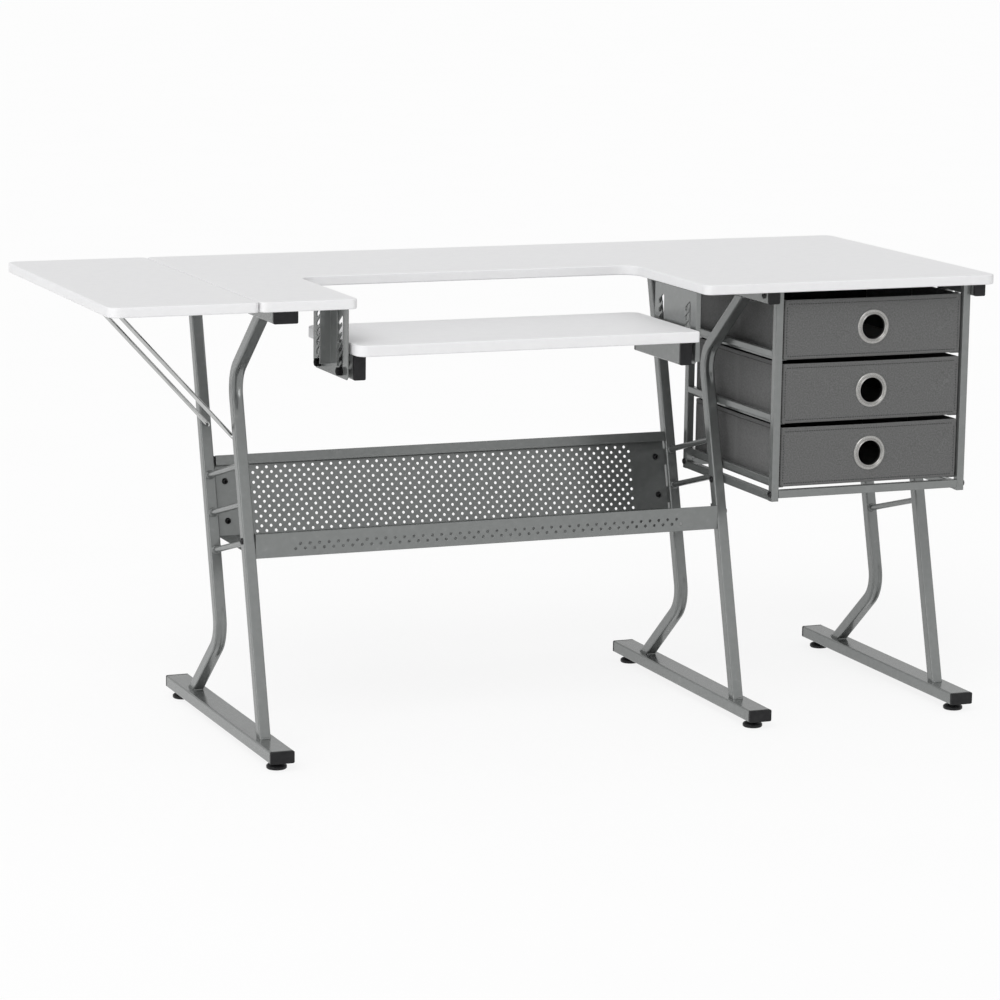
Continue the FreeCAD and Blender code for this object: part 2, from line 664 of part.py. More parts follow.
def make_brackets():
    """Notched plates that carry the pins, screwed under the top beside the cut-out."""
    plate_lift = {"left": "bracket_flange - bracket_plate", "right": None}
    for side in ("left", "right"):
        name = "bracket_" + side
        lift = plate_lift[side]
        body = new_body(name)
        plate = sketch_on(body, "YZ_Plane", name + "_plate", lift)
        corner, rear_corner = dim.bracket_corner, dim.bracket_rear_corner
        depth, height = dim.bracket_depth, dim.bracket_height
        outline(plate, [(corner, 0), (depth - rear_corner, 0), (depth, rear_corner), (depth, height),
                        (0, height), (0, corner)])
        pad(body, plate, "bracket_plate")
        flange = sketch_on(body, "XY_Plane", name + "_flange", "bracket_height - bracket_plate")
        rectangle(flange, "bracket_flange", "bracket_depth")
        pad(body, flange, "bracket_plate")
        if side == "right":
            rib = sketch_on(body, "XY_Plane", name + "_rib", "bracket_corner")
            rectangle(rib, "bracket_rib", "bracket_plate")
            pad(body, rib, "bracket_height - bracket_corner")
        rest = pin_height - bracket_bottom
        lowest = rest + dim.notch_drop
        lifts = [lowest + step * dim.notch_pitch for step in range(int(dim.notch_steps) + 1)]
        columns = [y - bracket_front for y in pin_places]
        channels = sketch_on(body, "YZ_Plane", name + "_channels", lift)
        for y in columns:
            obround(channels, (y, rest), (y, lifts[-1]), dim.slot_width / 2)
        pocket(body, channels, "bracket_plate")
        notches = sketch_on(body, "YZ_Plane", name + "_notches", lift)
        for y in columns:
            for z in lifts:
                end = (y + dim.notch_reach, z - dim.notch_drop)
                obround(notches, (y, z), end, dim.slot_width / 2)
        pocket(body, notches, "bracket_plate")
        bores = sketch_on(body, "XY_Plane", name + "_bores", "bracket_height - bracket_plate")
        places = [(x - bracket_left[side], y - bracket_front) for x, y in flange_screw_places
                  if x == flange_screw_x[side]]
        circles(bores, places, "screw_diameter + 2 * fixed_fit")
        pocket(body, bores, "bracket_plate")
        body.Placement = Placement(Vector(bracket_left[side], bracket_front, bracket_bottom), Rotation())
        node(name, body)

    doublers = []
    doubler_front = pin_places[0] + dim.notch_reach + dim.slot_width / 2
    doubler_z = underside - dim.bracket_plate - dim.doubler_height
    for side in ("left", "right"):
        plate_face = bracket_inner[side] + outward[side] * dim.bracket_plate
        low_x = plate_face - (dim.doubler_proud if side == "left" else 0)
        hollow_x = low_x + (0 if side == "left" else dim.bracket_plate)
        depth = side + "_doubler_depth"
        outer = primitive("Box", f"doubler_{side}_outer", (low_x, doubler_front, doubler_z),
                          Length="doubler_proud", Width=depth, Height="doubler_height")
        hollow = primitive("Box", f"doubler_{side}_hollow", (hollow_x, doubler_front, doubler_z),
                           Length="doubler_proud - bracket_plate", Width=depth + " - bracket_plate",
                           Height="doubler_height")
        doublers.append(cut("doubler_" + side, outer, [hollow]))
    group("bracket_doublers", doublers)


# Legs

def hollow_bar(name, x, y, z, width, length, bores):
    """A bar along Y, open at its ends, with cross bores."""
    tube_length = length + " - 2 * cap_thickness"
    start = Vector(x, y + dim.cap_thickness, z)
    outer = stock(name + "_outer", start, "Y", tube_length, width, "bar_height", "bar_corner")
    hollow = primitive("Box", name + "_hollow", start + Vector(dim.bar_wall, 0, dim.bar_wall),
                       Length=width + " - 2 * bar_wall", Width=tube_length,
                       Height="bar_height - 2 * bar_wall")
    return node(name, cut(name + "_tube", outer, [hollow] + bores))


def leg_profile(sketch, half):
    """Side view of a bent tube about the leg's centre, half being half its width."""
    bend = Vector(-dim.leg_spacing / 2 + dim.leg_bend_rise * math.tan(lean), dim.leg_bend_rise)
    low_way = Vector(math.sin(lean), math.cos(lean))
    high_way = Vector(-math.sin(branch), math.cos(branch))
    tangent = dim.leg_bend_radius * math.tan((lean + branch) / 2)
    low_side = Vector(-math.cos(lean), math.sin(lean))
    high_side = Vector(-math.cos(branch), -math.sin(branch))
    low_end, high_end = bend - low_way * tangent, bend + high_way * tangent
    centre = low_end + low_side * dim.leg_bend_radius
    top = bar_bottom - leg_z
    ends = []
    for side in (1, -1):
        low, high = low_end + low_side * half * side, high_end + high_side * half * side
        foot = low - low_way * ((low.y + top) / low_way.y)
        head = high + high_way * ((top - high.y) / high_way.y)
        sketch.addGeometry(Part.LineSegment(foot, low))
        circle = Part.Circle(centre, Z_AXIS, dim.leg_bend_radius - half * side)
        sketch.addGeometry(Part.ArcOfCircle(circle, -lean, branch))
        sketch.addGeometry(Part.LineSegment(high, head))
        ends.append((foot, head))
    for near, far in zip(*ends):
        sketch.addGeometry(Part.LineSegment(near, far))


def leg_tube(name, side, back, bolt_heights, bail_height=None):
    """One bent tube; the back tube is the front tube turned over about the leg's centre."""
    body = new_body(name)
    outside = sketch_on(body, "YZ_Plane", name + "_outside")
    leg_profile(outside, half_tube)
    pad(body, outside, "leg_tube")
    round_edges(body, name + "_corners", "tube_corner",
                lambda edge: edge.BoundBox.XLength < 0.001 and edge.BoundBox.ZLength > 0.001)
    inside = sketch_on(body, "YZ_Plane", name + "_inside", "tube_wall")
    leg_profile(inside, half_tube - dim.tube_wall)
    pocket(body, inside, "leg_tube - 2 * tube_wall")
    if bolt_heights:
        bores = sketch_on(body, "YZ_Plane", name + "_bores")
        places = [(front_tube_y(height) - leg_y, height - leg_z) for height in bolt_heights]
        circles(bores, places, "bolt_diameter + 2 * fixed_fit")
        pocket(body, bores)
    if bail_height is not None:
        bore = sketch_on(body, "XZ_Plane", name + "_pivot")
        circles(bore, [(half_tube, bail_height)], "bail_rod + 2 * running_fit")
        pocket(body, bore, f"leg_spacing / 2 - ({bail_height}) * tan(leg_lean)")
    turn = Rotation(X_AXIS, 180 if back else 0)
    body.Placement = Placement(Vector(leg_x[side] - half_tube, leg_y, leg_z), turn)
    node(name, body)


def make_legs():
    lip_bolt = {"left": [lip_bolt_z], "middle": [lip_bolt_z], "right": []}
    rail_bolt = {"left": [], "middle": [side_rail_z], "right": [side_rail_z]}
    wide, narrow, rungs = [], [], []
    for side, x in leg_x.items():
        bolt_places = [place for place in top_bolt_places if place[0] == x]
        width = bar_width[side]
        bar_x = x - getattr(dim, width) / 2
        bores = [bolt_bore(f"top_bar_{side}_bore_{index}", (x, y, bar_bottom), Z_AXIS, "bar_height")
                 for index, (_, y) in enumerate(bolt_places)]
        if side != "left":
            bores += [bolt_bore(f"top_bar_{side}_frame_bore_{end}", (bar_x, y + half_post, frame_bolt_z),
                                X_AXIS, width) for end, y in post_y.items()]
        hollow_bar("top_bar_" + side, bar_x, bar_front, bar_bottom, width, "top_bar_length", bores)
        caps = end_caps("top_bar_" + side, bar_x, bar_front, bar_bottom, width, "bar_height",
                        "top_bar_length")
        (wide if width == "wide_bar" else narrow).extend(caps)

        foot_x = x - dim.wide_bar / 2
        bores = [rod(f"foot_bar_{side}_stud_{index}", (x, y, dim.glide_height), Z_AXIS,
                     "glide_stud + 2 * running_fit", "2 * bar_wall") for index, y in enumerate(glide_places)]
        hollow_bar("foot_bar_" + side, foot_x, foot_front, dim.glide_height, "wide_bar", "foot_length", bores)
        wide.extend(end_caps("foot_bar_" + side, foot_x, foot_front, dim.glide_height, "wide_bar",
                             "bar_height", "foot_length"))

        holds_bail = side == "left"
        leg_tube("front_tube_" + side, side, False, lip_bolt[side] + rail_bolt[side],
                 dim.bail_pivot_rise if holds_bail else None)
        leg_tube("back_tube_" + side, side, True, [], -dim.bail_pivot_rise if holds_bail else None)

        centre = Vector(x, leg_y, leg_z)
        half_rung = (dim.leg_spacing * math.cos(lean) - dim.leg_tube) / 2
        for step in (-1, 0, 1):
            start = centre + along_tube * (step * dim.rung_pitch) - across_tube * half_rung
            rungs.append(rod(f"rung_{side}_{step + 1}", start, across_tube, "rung_diameter",
                             "leg_spacing * cos(leg_lean) - leg_tube"))
    group("leg_rungs", rungs)
    group("wide_caps", wide)
    group("narrow_caps", narrow)


def make_glides():
    """Screw-in feet and the nuts that hold them inside the foot bars."""
    nuts = []
    number = 0
    for side, x in leg_x.items():
        for y in glide_places:
            number += 1
            name = f"glide_{number}"
            body = new_body(name)
            half = sketch_on(body, "XZ_Plane", name + "_half")
            base, neck, stud = dim.glide_base / 2, dim.glide_neck / 2, dim.glide_stud / 2
            shoulder = dim.glide_height - dim.seat_gap
            bevel, rim, crown = dim.glide_bevel, dim.glide_rim, dim.glide_crown
            stud_top = shoulder + dim.glide_stud_length
            outline(half, [(0, 0), (base - bevel, 0), (base, bevel), (base, rim),
                           (base - crown / 2, rim + crown / 2), (neck, rim + crown), (neck, shoulder),
                           (stud, shoulder), (stud, stud_top), (0, stud_top)])
            revolve(body, half, "V_Axis")
            body.Placement = Placement(Vector(x, y, 0), Rotation())
            node(name, body)
            seat = (x, y, dim.glide_height + dim.bar_wall)
            blank = primitive("Prism", f"glide_nut_{number}_blank", seat, Circumradius="glide_nut / 2",
                              Height="glide_nut_height")
            bore = rod(f"glide_nut_{number}_bore", seat, Z_AXIS, "glide_stud + 2 * running_fit",
                       "glide_nut_height")
            nuts.append(cut(f"glide_nut_{number}", blank, [bore]))
    group("glide_nuts", nuts)


# Leaf hinges and strut

def make_hinges():
    fixed, moving, pins, fixed_screws, moving_screws = [], [], [], [], []
    third = "hinge_length / 3"
    swing = dim.hinge_knuckle + 2
    for index, start in enumerate(hinge_starts):
        for half, reach in (("fixed", 0), ("moving", -dim.hinge_leaf_width)):
            name = f"hinge_{half}_{index}"
            plate = primitive("Box", name + "_plate", (seam_x + reach, start, underside - dim.hinge_plate),
                              Length="hinge_leaf_width", Width="hinge_length", Height="hinge_plate")
            barrel = rod(name + "_barrel", (seam_x, start, hinge_height), Y_AXIS, "hinge_knuckle",
                         "hinge_length")
            gap = dim.seat_gap
            knuckle = dim.hinge_length / 3
            if half == "fixed":
                windows = [(start + knuckle - gap, third + " + 2 * seat_gap")]
            else:
                windows = [(start, third + " + seat_gap"),
                           (start + 2 * knuckle - gap, third + " + seat_gap")]
            tools = [rod(name + "_bore", (seam_x, start, hinge_height), Y_AXIS, "hinge_pin + 2 * running_fit",
                         "hinge_length")]
            for part, (window_y, width) in enumerate(windows):
                corner = (seam_x - swing / 2, window_y, hinge_height - swing / 2)
                tools.append(primitive("Box", f"{name}_window_{part}", corner, Length="hinge_knuckle + 2",
                                       Width=width, Height="hinge_knuckle + 2"))
            side = 1 if half == "fixed" else -1
            for part, y in enumerate(hinge_screw_y[2 * index:2 * index + 2]):
                at = (seam_x + side * dim.hinge_screw_reach, y, underside - dim.hinge_plate)
                tools.append(screw_bore(f"{name}_screw_bore_{part}", at))
                screw = wood_screw(f"{name}_screw_{part}", at)
                (fixed_screws if half == "fixed" else moving_screws).append(screw)
            shaped = cut(name, fused(name + "_blank", [plate, barrel]), tools)
            (fixed if half == "fixed" else moving).append(shaped)
        pins.append(rod(f"hinge_pin_{index}", (seam_x, start, hinge_height), Y_AXIS, "hinge_pin",
                        "hinge_length"))
    group("hinge_fixed_plates", fixed)
    group("hinge_leaf_plates", moving)
    group("hinge_pins", pins)
    for index, (x, y) in enumerate(flange_screw_places):
        fixed_screws.append(wood_screw(f"flange_screw_{index}", (x, y, underside - dim.bracket_plate)))
    group("board_screws", fixed_screws)

    block_at = (stop_left, bail_y - dim.stop_length / 2, underside - dim.stop_height)
    block = primitive("Box", "stop_block", block_at, Length="stop_width", Width="stop_length",
                      Height="stop_height")
    bores = []
    for index, (x, y) in enumerate(stop_screw_places):
        seat = Vector(x, y, underside - dim.screw_length / 2)
        moving_screws.append(wood_screw(f"stop_screw_{index}", seat))
        bores.append(screw_bore(f"stop_bore_{index}", seat))
        bores.append(rod(f"stop_sink_{index}", seat - Z_AXIS * dim.stop_height, Z_AXIS,
                         "screw_head + 2 * fixed_fit", "stop_height"))
    node("bail_stop", cut("stop_drilled", block, bores))
    group("leaf_screws", moving_screws)


def bent_rod(points, bend, diameter):
    """A round rod along straight runs joined by bends of one radius."""
    edges = []
    last = points[0]
    for before, corner, after in zip(points, points[1:], points[2:]):
        inward = (before - corner).normalize()
        onward = (after - corner).normalize()
        reach = bend / math.tan(inward.getAngle(onward) / 2)
        start, end = corner + inward * reach, corner + onward * reach
        middle_way = (inward + onward).normalize()
        middle = corner + middle_way * (math.hypot(bend, reach) - bend)
        edges += [Part.makeLine(last, start), Part.Arc(start, middle, end).toShape()]
        last = end
    edges.append(Part.makeLine(last, points[-1]))
    ring = Part.Wire(Part.makeCircle(diameter / 2, points[0], points[1] - points[0]))
    return Part.Wire(edges).makePipeShell([ring], True, False)


def make_bail():
    """The strut: a rod bent to a U, its ends turned out into the leg tubes."""
    x, z = leg_x["left"], bail_pivot_z
    half_face = half_tube / math.cos(lean) - dim.bail_tongue
    front_end = front_tube_y(z) + half_face
    back_end = front_tube_y(z) + dim.leg_spacing - half_face
    near, far = bail_y - dim.bail_width / 2, bail_y + dim.bail_width / 2
    points = [Vector(x, front_end, z), Vector(x, near, z), Vector(bail_bar_x, near, bail_bar_z),
              Vector(bail_bar_x, far, bail_bar_z), Vector(x, far, z), Vector(x, back_end, z)]
    item = doc.addObject("Part::Feature", "bail_rod_shape")
    item.Shape = bent_rod(points, dim.bail_bend, dim.bail_rod)
    node("leaf_bail", item)


# Tray

def strip_sides(points, thickness):
    """Both sides of a folded sheet, mitred at its folds, from its middle line."""
    sides = ([], [])
    for index, point in enumerate(points):
        ways = []
        if index > 0:
            ways.append((point - points[index - 1]).normalize())
        if index + 1 < len(points):
            ways.append((points[index + 1] - point).normalize())
        normals = [Vector(0, -way.z, way.y) for way in ways]
        mitre = (normals[0] + normals[-1]).normalize()
        reach = thickness / 2 / mitre.dot(normals[0])
        sides[0].append(point + mitre * reach)
        sides[1].append(point - mitre * reach)
    return sides


def sheet_run(left, right, start, length):
    """Solid between two sides of a sheet, drawn in the YZ plane and run along X."""
    loop = left + right[::-1]
    face = Part.Face(Part.makePolygon(loop + loop[:1]))
    face.translate(Vector(start, 0, 0))
    return face.extrude(Vector(length, 0, 0))


def hole_rows(rows, corner, row_step, through):
    """Staggered rows of holes about the tray's middle; every other row is half a pitch over."""
    middle = (leg_x["left"] + leg_x["middle"]) / 2
    holes = []
    for row in range(int(rows)):
        count = int(dim.tray_columns) - row % 2
        for column in range(count):
            x = middle + (column - (count - 1) / 2) * dim.tray_pitch
            centre = Vector(x, 0, 0) + corner + row_step * row
            holes.append(Part.makeCylinder(dim.tray_hole / 2, 4 * dim.tray_sheet,
                                           centre - through * 2 * dim.tray_sheet, through))
    return holes


def make_tray():
    panel_foot = Vector(0, front_tube_y(tray_floor) + dim.leg_spacing, tray_floor)
    panel_top = panel_foot + along_tube * (dim.tray_panel_rise / math.cos(lean))
    hem_front = panel_top - across_tube * dim.tray_hem_depth
    lip_foot = Vector(0, leg_y - dim.tray_lip_front, tray_floor)
    lip_top = lip_foot + Z_AXIS * dim.tray_lip_height
    points = [lip_top, lip_foot, panel_foot, panel_top, hem_front,
              hem_front - along_tube * dim.tray_hem_drop]
    left, right = strip_sides(points, dim.tray_sheet)

    tube_face = {"left": leg_x["left"] + half_tube, "middle": leg_x["middle"] - half_tube}
    shelf_start = tube_face["left"] + dim.seat_gap
    shelf_end = tube_face["middle"] - dim.seat_gap
    shelf = sheet_run(left[:3], right[:3], shelf_start, shelf_end - shelf_start)
    row_step = dim.tray_pitch / 2
    lip_holes = hole_rows(dim.lip_rows, lip_foot + Z_AXIS * dim.lip_row_start, Z_AXIS * row_step, Y_AXIS)
    shelf = shelf.cut(lip_holes)
    ear_y = lip_foot.y
    bolt_y = front_tube_y(lip_bolt_z)
    for ear_x in (shelf_start, shelf_end - dim.tray_sheet):
        ear = Part.makeBox(dim.tray_sheet, dim.ear_depth, dim.ear_height,
                           Vector(ear_x, ear_y, lip_top.z - dim.ear_height))
        bore = Part.makeCylinder(dim.bolt_diameter / 2 + dim.fixed_fit, 3 * dim.tray_sheet,
                                 Vector(ear_x - dim.tray_sheet, bolt_y, lip_bolt_z), X_AXIS)
        shelf = shelf.fuse(ear.cut(bore))
    item = doc.addObject("Part::Feature", "tray_shelf_shape")
    item.Shape = shelf.removeSplitter()
    node("tray_shelf", item)

    panel_start = tube_face["left"] + dim.tray_end_gap
    panel_end = tube_face["middle"] - dim.tray_end_gap
    panel = sheet_run(left[2:], right[2:], panel_start, panel_end - panel_start)
    panel_holes = hole_rows(dim.panel_rows, panel_foot + along_tube * dim.panel_row_start,
                            along_tube * row_step, across_tube)
    centre = Vector(0, leg_y + dim.leg_spacing / 2, leg_z)
    tabs, bolts = [], []
    for side, way in (("left", 1), ("middle", -1)):
        for step in (-1, 1):
            name = f"tray_tab_{side}_{step + 1}"
            middle = centre + along_tube * (step * dim.tab_spacing / 2 - dim.tab_drop)
            bolt_at = middle + X_AXIS * (tube_face[side] + way * dim.tab_bolt_reach)
            head_seat = bolt_at - across_tube * (dim.tray_sheet / 2)
            panel_holes.append(Part.makeCylinder(dim.bolt_diameter / 2 + dim.fixed_fit, 4 * dim.tray_sheet,
                                                 bolt_at - across_tube * 2 * dim.tray_sheet, across_tube))
            low_x = tube_face[side] - (dim.tab_width if way < 0 else 0)
            corner = (middle + X_AXIS * low_x + across_tube * (dim.tray_sheet / 2)
                      - along_tube * (dim.tab_height / 2))
            plate = primitive("Box", name + "_plate", corner, lean_turn, Length="tab_width",
                              Width="tab_thickness", Height="tab_height")
            bore = bolt_bore(name + "_bore", bolt_at, across_tube, "4 * tab_thickness")
            tabs.append(cut(name, plate, [bore]))
            bolts.append(bolt(name + "_bolt", head_seat, across_tube, "tray_sheet + 3 * tab_thickness"))
    item = doc.addObject("Part::Feature", "tray_back_shape")
    item.Shape = panel.cut(panel_holes)
    node("tray_back", item)
    group("tray_tabs", tabs)
    for side, way in (("left", 1), ("middle", -1)):
        outer_face = (leg_x[side] - way * half_tube, bolt_y, lip_bolt_z)
        bolts.append(bolt(f"tray_lip_bolt_{side}", outer_face, X_AXIS * way, "1.5 * leg_tube"))
    group("tray_bolts", bolts)


# Drawer frame and drawers

def square_tube(name, at, along, length, height="post_size", bores=()):
    """A thin square tube along X, Y or Z."""
    spans = {"X": "post_size", "Y": "post_size", "Z": height}
    spans[along] = length
    inner = {axis: words if axis == along else words + " - 2 * post_wall" for axis, words in spans.items()}
    shift = Vector(*(0 if axis == along else dim.post_wall for axis in "XYZ"))
    width, height = (words for axis, words in spans.items() if axis != along)
    outer = stock(name + "_outer", at, along, length, width, height, "post_corner")
    hollow = primitive("Box", name + "_hollow", Vector(at) + shift, Length=inner["X"], Width=inner["Y"],
                       Height=inner["Z"])
    return cut(name, outer, [hollow] + list(bores))


def make_drawer_frame():
    outer_face = {"left": frame_left, "right": frame_right}
    inward = {"left": X_AXIS, "right": -X_AXIS}
    leg = {"left": "middle", "right": "right"}
    posts, rails, runners, bolts = [], [], [], []
    clear_depth = "drawer_frame_depth - 2 * post_size"
    for side, way in inward.items():
        for end, y in post_y.items():
            name = f"post_{side}_{end}"
            low = Vector(outer_face[side], y + half_post, side_rail_z + dim.front_rail_lift)
            high = Vector(outer_face[side], y + half_post, frame_bolt_z)
            bar_face = Vector(leg_x[leg[side]], high.y, high.z) - way * (dim.narrow_bar / 2)
            bores = [bolt_bore(name + "_low_bore", low, way, "post_size"),
                     bolt_bore(name + "_high_bore", high, way, "post_size / 2")]
            at = (post_x[side], y, frame_bottom)
            posts.append(square_tube(name, at, "Z", "drawer_frame_height", bores=bores))
            bolts.append(bolt(name + "_low_bolt", low, way, "1.8 * post_size"))
            bolts.append(bolt(name + "_high_bolt", bar_face, way, "narrow_bar + post_size / 2"))
        leg_face = Vector(leg_x[leg[side]], front_tube_y(side_rail_z), side_rail_z) - way * half_tube
        bolts.append(bolt(f"rail_{side}_leg_bolt", leg_face, way, "leg_tube + post_size / 2"))
        wall = Vector(outer_face[side], leg_face.y, leg_face.z)
        bores = [bolt_bore(f"rail_{side}_bore", wall, way, "post_size / 2")]
        rail_at = Vector(post_x[side], frame_front + dim.post_size, frame_bottom)
        rails.append(square_tube(f"rail_{side}", rail_at, "Y", clear_depth, bores=bores))
        ledge_x = post_x[side] + (dim.post_size if side == "left" else -dim.runner_ledge)
        web_x = post_x[side] + (dim.post_size - dim.ledge_thickness if side == "left" else 0)
        for index, drawer_z in enumerate(drawer_levels):
            level = drawer_z - dim.seat_gap - dim.ledge_thickness
            name = f"runner_{side}_{index}"
            at = Vector(post_x[side], rail_at.y, level + dim.runner_lift)
            tube = square_tube(name + "_tube", at, "Y", clear_depth, height="runner_height")
            web = primitive("Box", name + "_web", (web_x, rail_at.y, level), Length="ledge_thickness",
                            Width=clear_depth, Height="runner_lift + post_wall")
            ledge = primitive("Box", name + "_ledge", (ledge_x, rail_at.y, level), Length="runner_ledge",
                              Width=clear_depth, Height="ledge_thickness")
            runners.append(fused(name, [tube, web, ledge]))
    for end, y in post_y.items():
        at = Vector(frame_left + dim.post_size, y, frame_bottom + dim.front_rail_lift)
        rails.append(square_tube("rail_" + end, at, "X", CLEAR_WIDTH))
    for index, (x, y) in enumerate(top_bolt_places):
        bolts.append(bolt(f"top_bolt_{index}", (x, y, bar_bottom), Z_AXIS,
                          "bar_height + top_thickness - bolt_head_height - 1"))
    group("drawer_posts", posts)
    group("drawer_rails", rails)
    group("drawer_runners", runners)
    group("frame_bolts", bolts)


def make_drawer(number, level):
    """An open fabric box with a ringed finger hole and a loose board on its floor."""
    name = f"drawer_bin_{number}"
    place = Vector(frame_left + dim.post_size + dim.drawer_side_gap, frame_front + dim.drawer_setback, level)
    hole = (drawer_width / 2, dim.drawer_height / 2)
    body = new_body(name)
    box = sketch_on(body, "XY_Plane", name + "_outside")
    rectangle(box, DRAWER_WIDTH, "drawer_depth")
    pad(body, box, "drawer_height")
    corners = [(x, y) for x in (0, drawer_width) for y in (0, dim.drawer_depth)]
    round_edges(body, name + "_corners", "drawer_corner", upright_at(corners))
    room = sketch_on(body, "XY_Plane", name + "_inside", "drawer_wall")
    rectangle(room, DRAWER_WIDTH + " - 2 * drawer_wall", "drawer_depth - 2 * drawer_wall",
              left="drawer_wall", front="drawer_wall")
    pocket(body, room, "drawer_height")
    finger = sketch_on(body, "XZ_Plane", name + "_finger_hole")
    circles(finger, [hole], "grommet_neck + 2 * fixed_fit")
    pocket(body, finger, "2 * drawer_wall", forward=False)
    body.Placement = Placement(place, Rotation())
    node(name, body)

    name = f"drawer_grommet_{number}"
    body = new_body(name)
    half = sketch_on(body, "XY_Plane", name + "_half")
    bore, ring, neck = dim.grommet_bore / 2, dim.grommet_outer / 2, dim.grommet_neck / 2
    washer, back = dim.grommet_washer / 2, dim.drawer_wall + dim.grommet_back
    outline(half, [(bore, -dim.grommet_face), (ring, -dim.grommet_face), (ring, 0), (neck, 0),
                   (neck, dim.drawer_wall), (washer, dim.drawer_wall), (washer, back), (bore, back)])
    revolve(body, half, "V_Axis")
    face = -dim.grommet_face
    round_edges(body, name + "_face", "grommet_face * 0.45",
                lambda edge: abs(edge.BoundBox.YMax - face) < 0.01 and edge.BoundBox.YLength < 0.01)
    body.Placement = Placement(place + Vector(hole[0], 0, hole[1]), Rotation())
    node(name, body)

    name = f"drawer_base_{number}"
    inset = dim.drawer_wall + dim.base_margin
    board = primitive("Box", name + "_board", place + Vector(inset, inset, dim.drawer_wall),
                      Length=DRAWER_WIDTH + " - 2 * drawer_wall - 2 * base_margin",
                      Width="drawer_depth - 2 * drawer_wall - 2 * base_margin", Height="base_board")
    node(name, board)


make_main_top()
make_leaf_board()
make_platform()
make_knobs()
make_brackets()
make_legs()
make_glides()
make_hinges()
make_bail()
make_tray()
make_drawer_frame()
for number, level in enumerate(drawer_levels, start=1):
    make_drawer(number, level)

doc.recompute()
for item in doc.Objects:
    if "Invalid" in item.State or "Error" in item.State:
        raise RuntimeError(f"{item.Name} failed: {item.State}")
os.makedirs("parts", exist_ok=True)
for item in nodes:
    if item.Shape.isNull() or not item.Shape.isValid():
        raise RuntimeError(f"{item.Label} has no valid shape")
    item.Shape.exportStep(f"parts/{item.Label}.step")
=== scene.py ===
import json
import math

import bmesh
import bpy
from mathutils import Matrix, Vector, noise


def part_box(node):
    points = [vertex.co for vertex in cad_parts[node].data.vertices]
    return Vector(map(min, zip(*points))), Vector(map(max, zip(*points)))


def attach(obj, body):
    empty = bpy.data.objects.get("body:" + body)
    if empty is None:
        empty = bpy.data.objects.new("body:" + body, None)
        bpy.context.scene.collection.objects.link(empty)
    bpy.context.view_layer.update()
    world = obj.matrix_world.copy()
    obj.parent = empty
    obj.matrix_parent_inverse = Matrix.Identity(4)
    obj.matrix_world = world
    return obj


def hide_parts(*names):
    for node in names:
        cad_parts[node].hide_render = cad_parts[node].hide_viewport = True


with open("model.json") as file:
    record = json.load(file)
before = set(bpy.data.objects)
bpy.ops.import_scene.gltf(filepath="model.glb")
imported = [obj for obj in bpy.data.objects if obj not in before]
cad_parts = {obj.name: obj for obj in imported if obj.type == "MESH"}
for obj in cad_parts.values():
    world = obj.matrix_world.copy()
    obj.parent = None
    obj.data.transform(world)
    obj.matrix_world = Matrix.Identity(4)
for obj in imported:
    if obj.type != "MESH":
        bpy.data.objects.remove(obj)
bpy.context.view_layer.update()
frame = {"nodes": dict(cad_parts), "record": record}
nodes = frame["nodes"]
record = frame["record"]
scene = bpy.context.scene

# Lengths of pieces are in millimetres, and MM turns them into metres

MM = 0.001
X_AXIS = Vector((1, 0, 0))
Y_AXIS = Vector((0, 1, 0))
Z_AXIS = Vector((0, 0, 1))
QUARTER = math.pi / 2
WHOLE_TURN = 2 * math.pi
TINY = 1e-6
SHARP = math.radians(38)

# The legs' lean, their own upright and cross directions, and their middles

LEAN = math.radians(15)
ALONG = Vector((0, math.sin(LEAN), math.cos(LEAN)))
ACROSS = Vector((0, math.cos(LEAN), -math.sin(LEAN)))
LEG_X = {"left": -480, "middle": 357, "right": 737}
LEG_Y = -7
LEG_Z = 374


# Materials, with their lengths in metres and their grains to the metre

EDGE_RADIUS = 0.0011
EDGE_SAMPLES = 4
FLAT_COSINE = 0.99
EDGE_COSINE = 0.8
PATTERN_LOW = 0.3
PATTERN_HIGH = 0.7
DARK_AT = 0.35
LIGHT_AT = 0.65
BROAD_GRAINS = 14
LEAST_RUB = 0.5


def new_material(name):
    """A fresh material with its node tree and its shader."""
    item = bpy.data.materials.new(name)
    item.use_nodes = True
    tree = item.node_tree
    return item, tree, tree.nodes["Principled BSDF"]


def ramp_between(tree, source, dark, light, worn=None):
    """A colour that wanders between two shades with a pattern, and on to a worn shade at its top."""
    ramp = tree.nodes.new("ShaderNodeValToRGB")
    ramp.color_ramp.elements[0].position = DARK_AT
    ramp.color_ramp.elements[0].color = (*dark, 1)
    ramp.color_ramp.elements[1].position = LIGHT_AT
    ramp.color_ramp.elements[1].color = (*light, 1)
    if worn:
        ramp.color_ramp.elements.new(1.0).color = (*worn, 1)
    tree.links.new(source, ramp.inputs["Fac"])
    return ramp.outputs["Color"]


def spread(tree, source, low, high):
    """A number that wanders between two limits with a pattern."""
    spreader = tree.nodes.new("ShaderNodeMapRange")
    spreader.inputs["From Min"].default_value = PATTERN_LOW
    spreader.inputs["From Max"].default_value = PATTERN_HIGH
    spreader.inputs["To Min"].default_value = low
    spreader.inputs["To Max"].default_value = high
    tree.links.new(source, spreader.inputs["Value"])
    return spreader.outputs["Result"]


def combined(tree, operation, first, second):
    """Two patterns joined into one."""
    join = tree.nodes.new("ShaderNodeMath")
    join.operation = operation
    tree.links.new(first, join.inputs[0])
    tree.links.new(second, join.inputs[1])
    return join.outputs["Value"]


def coordinates(tree):
    """The piece's own coordinates."""
    return tree.nodes.new("ShaderNodeTexCoord").outputs["Object"]


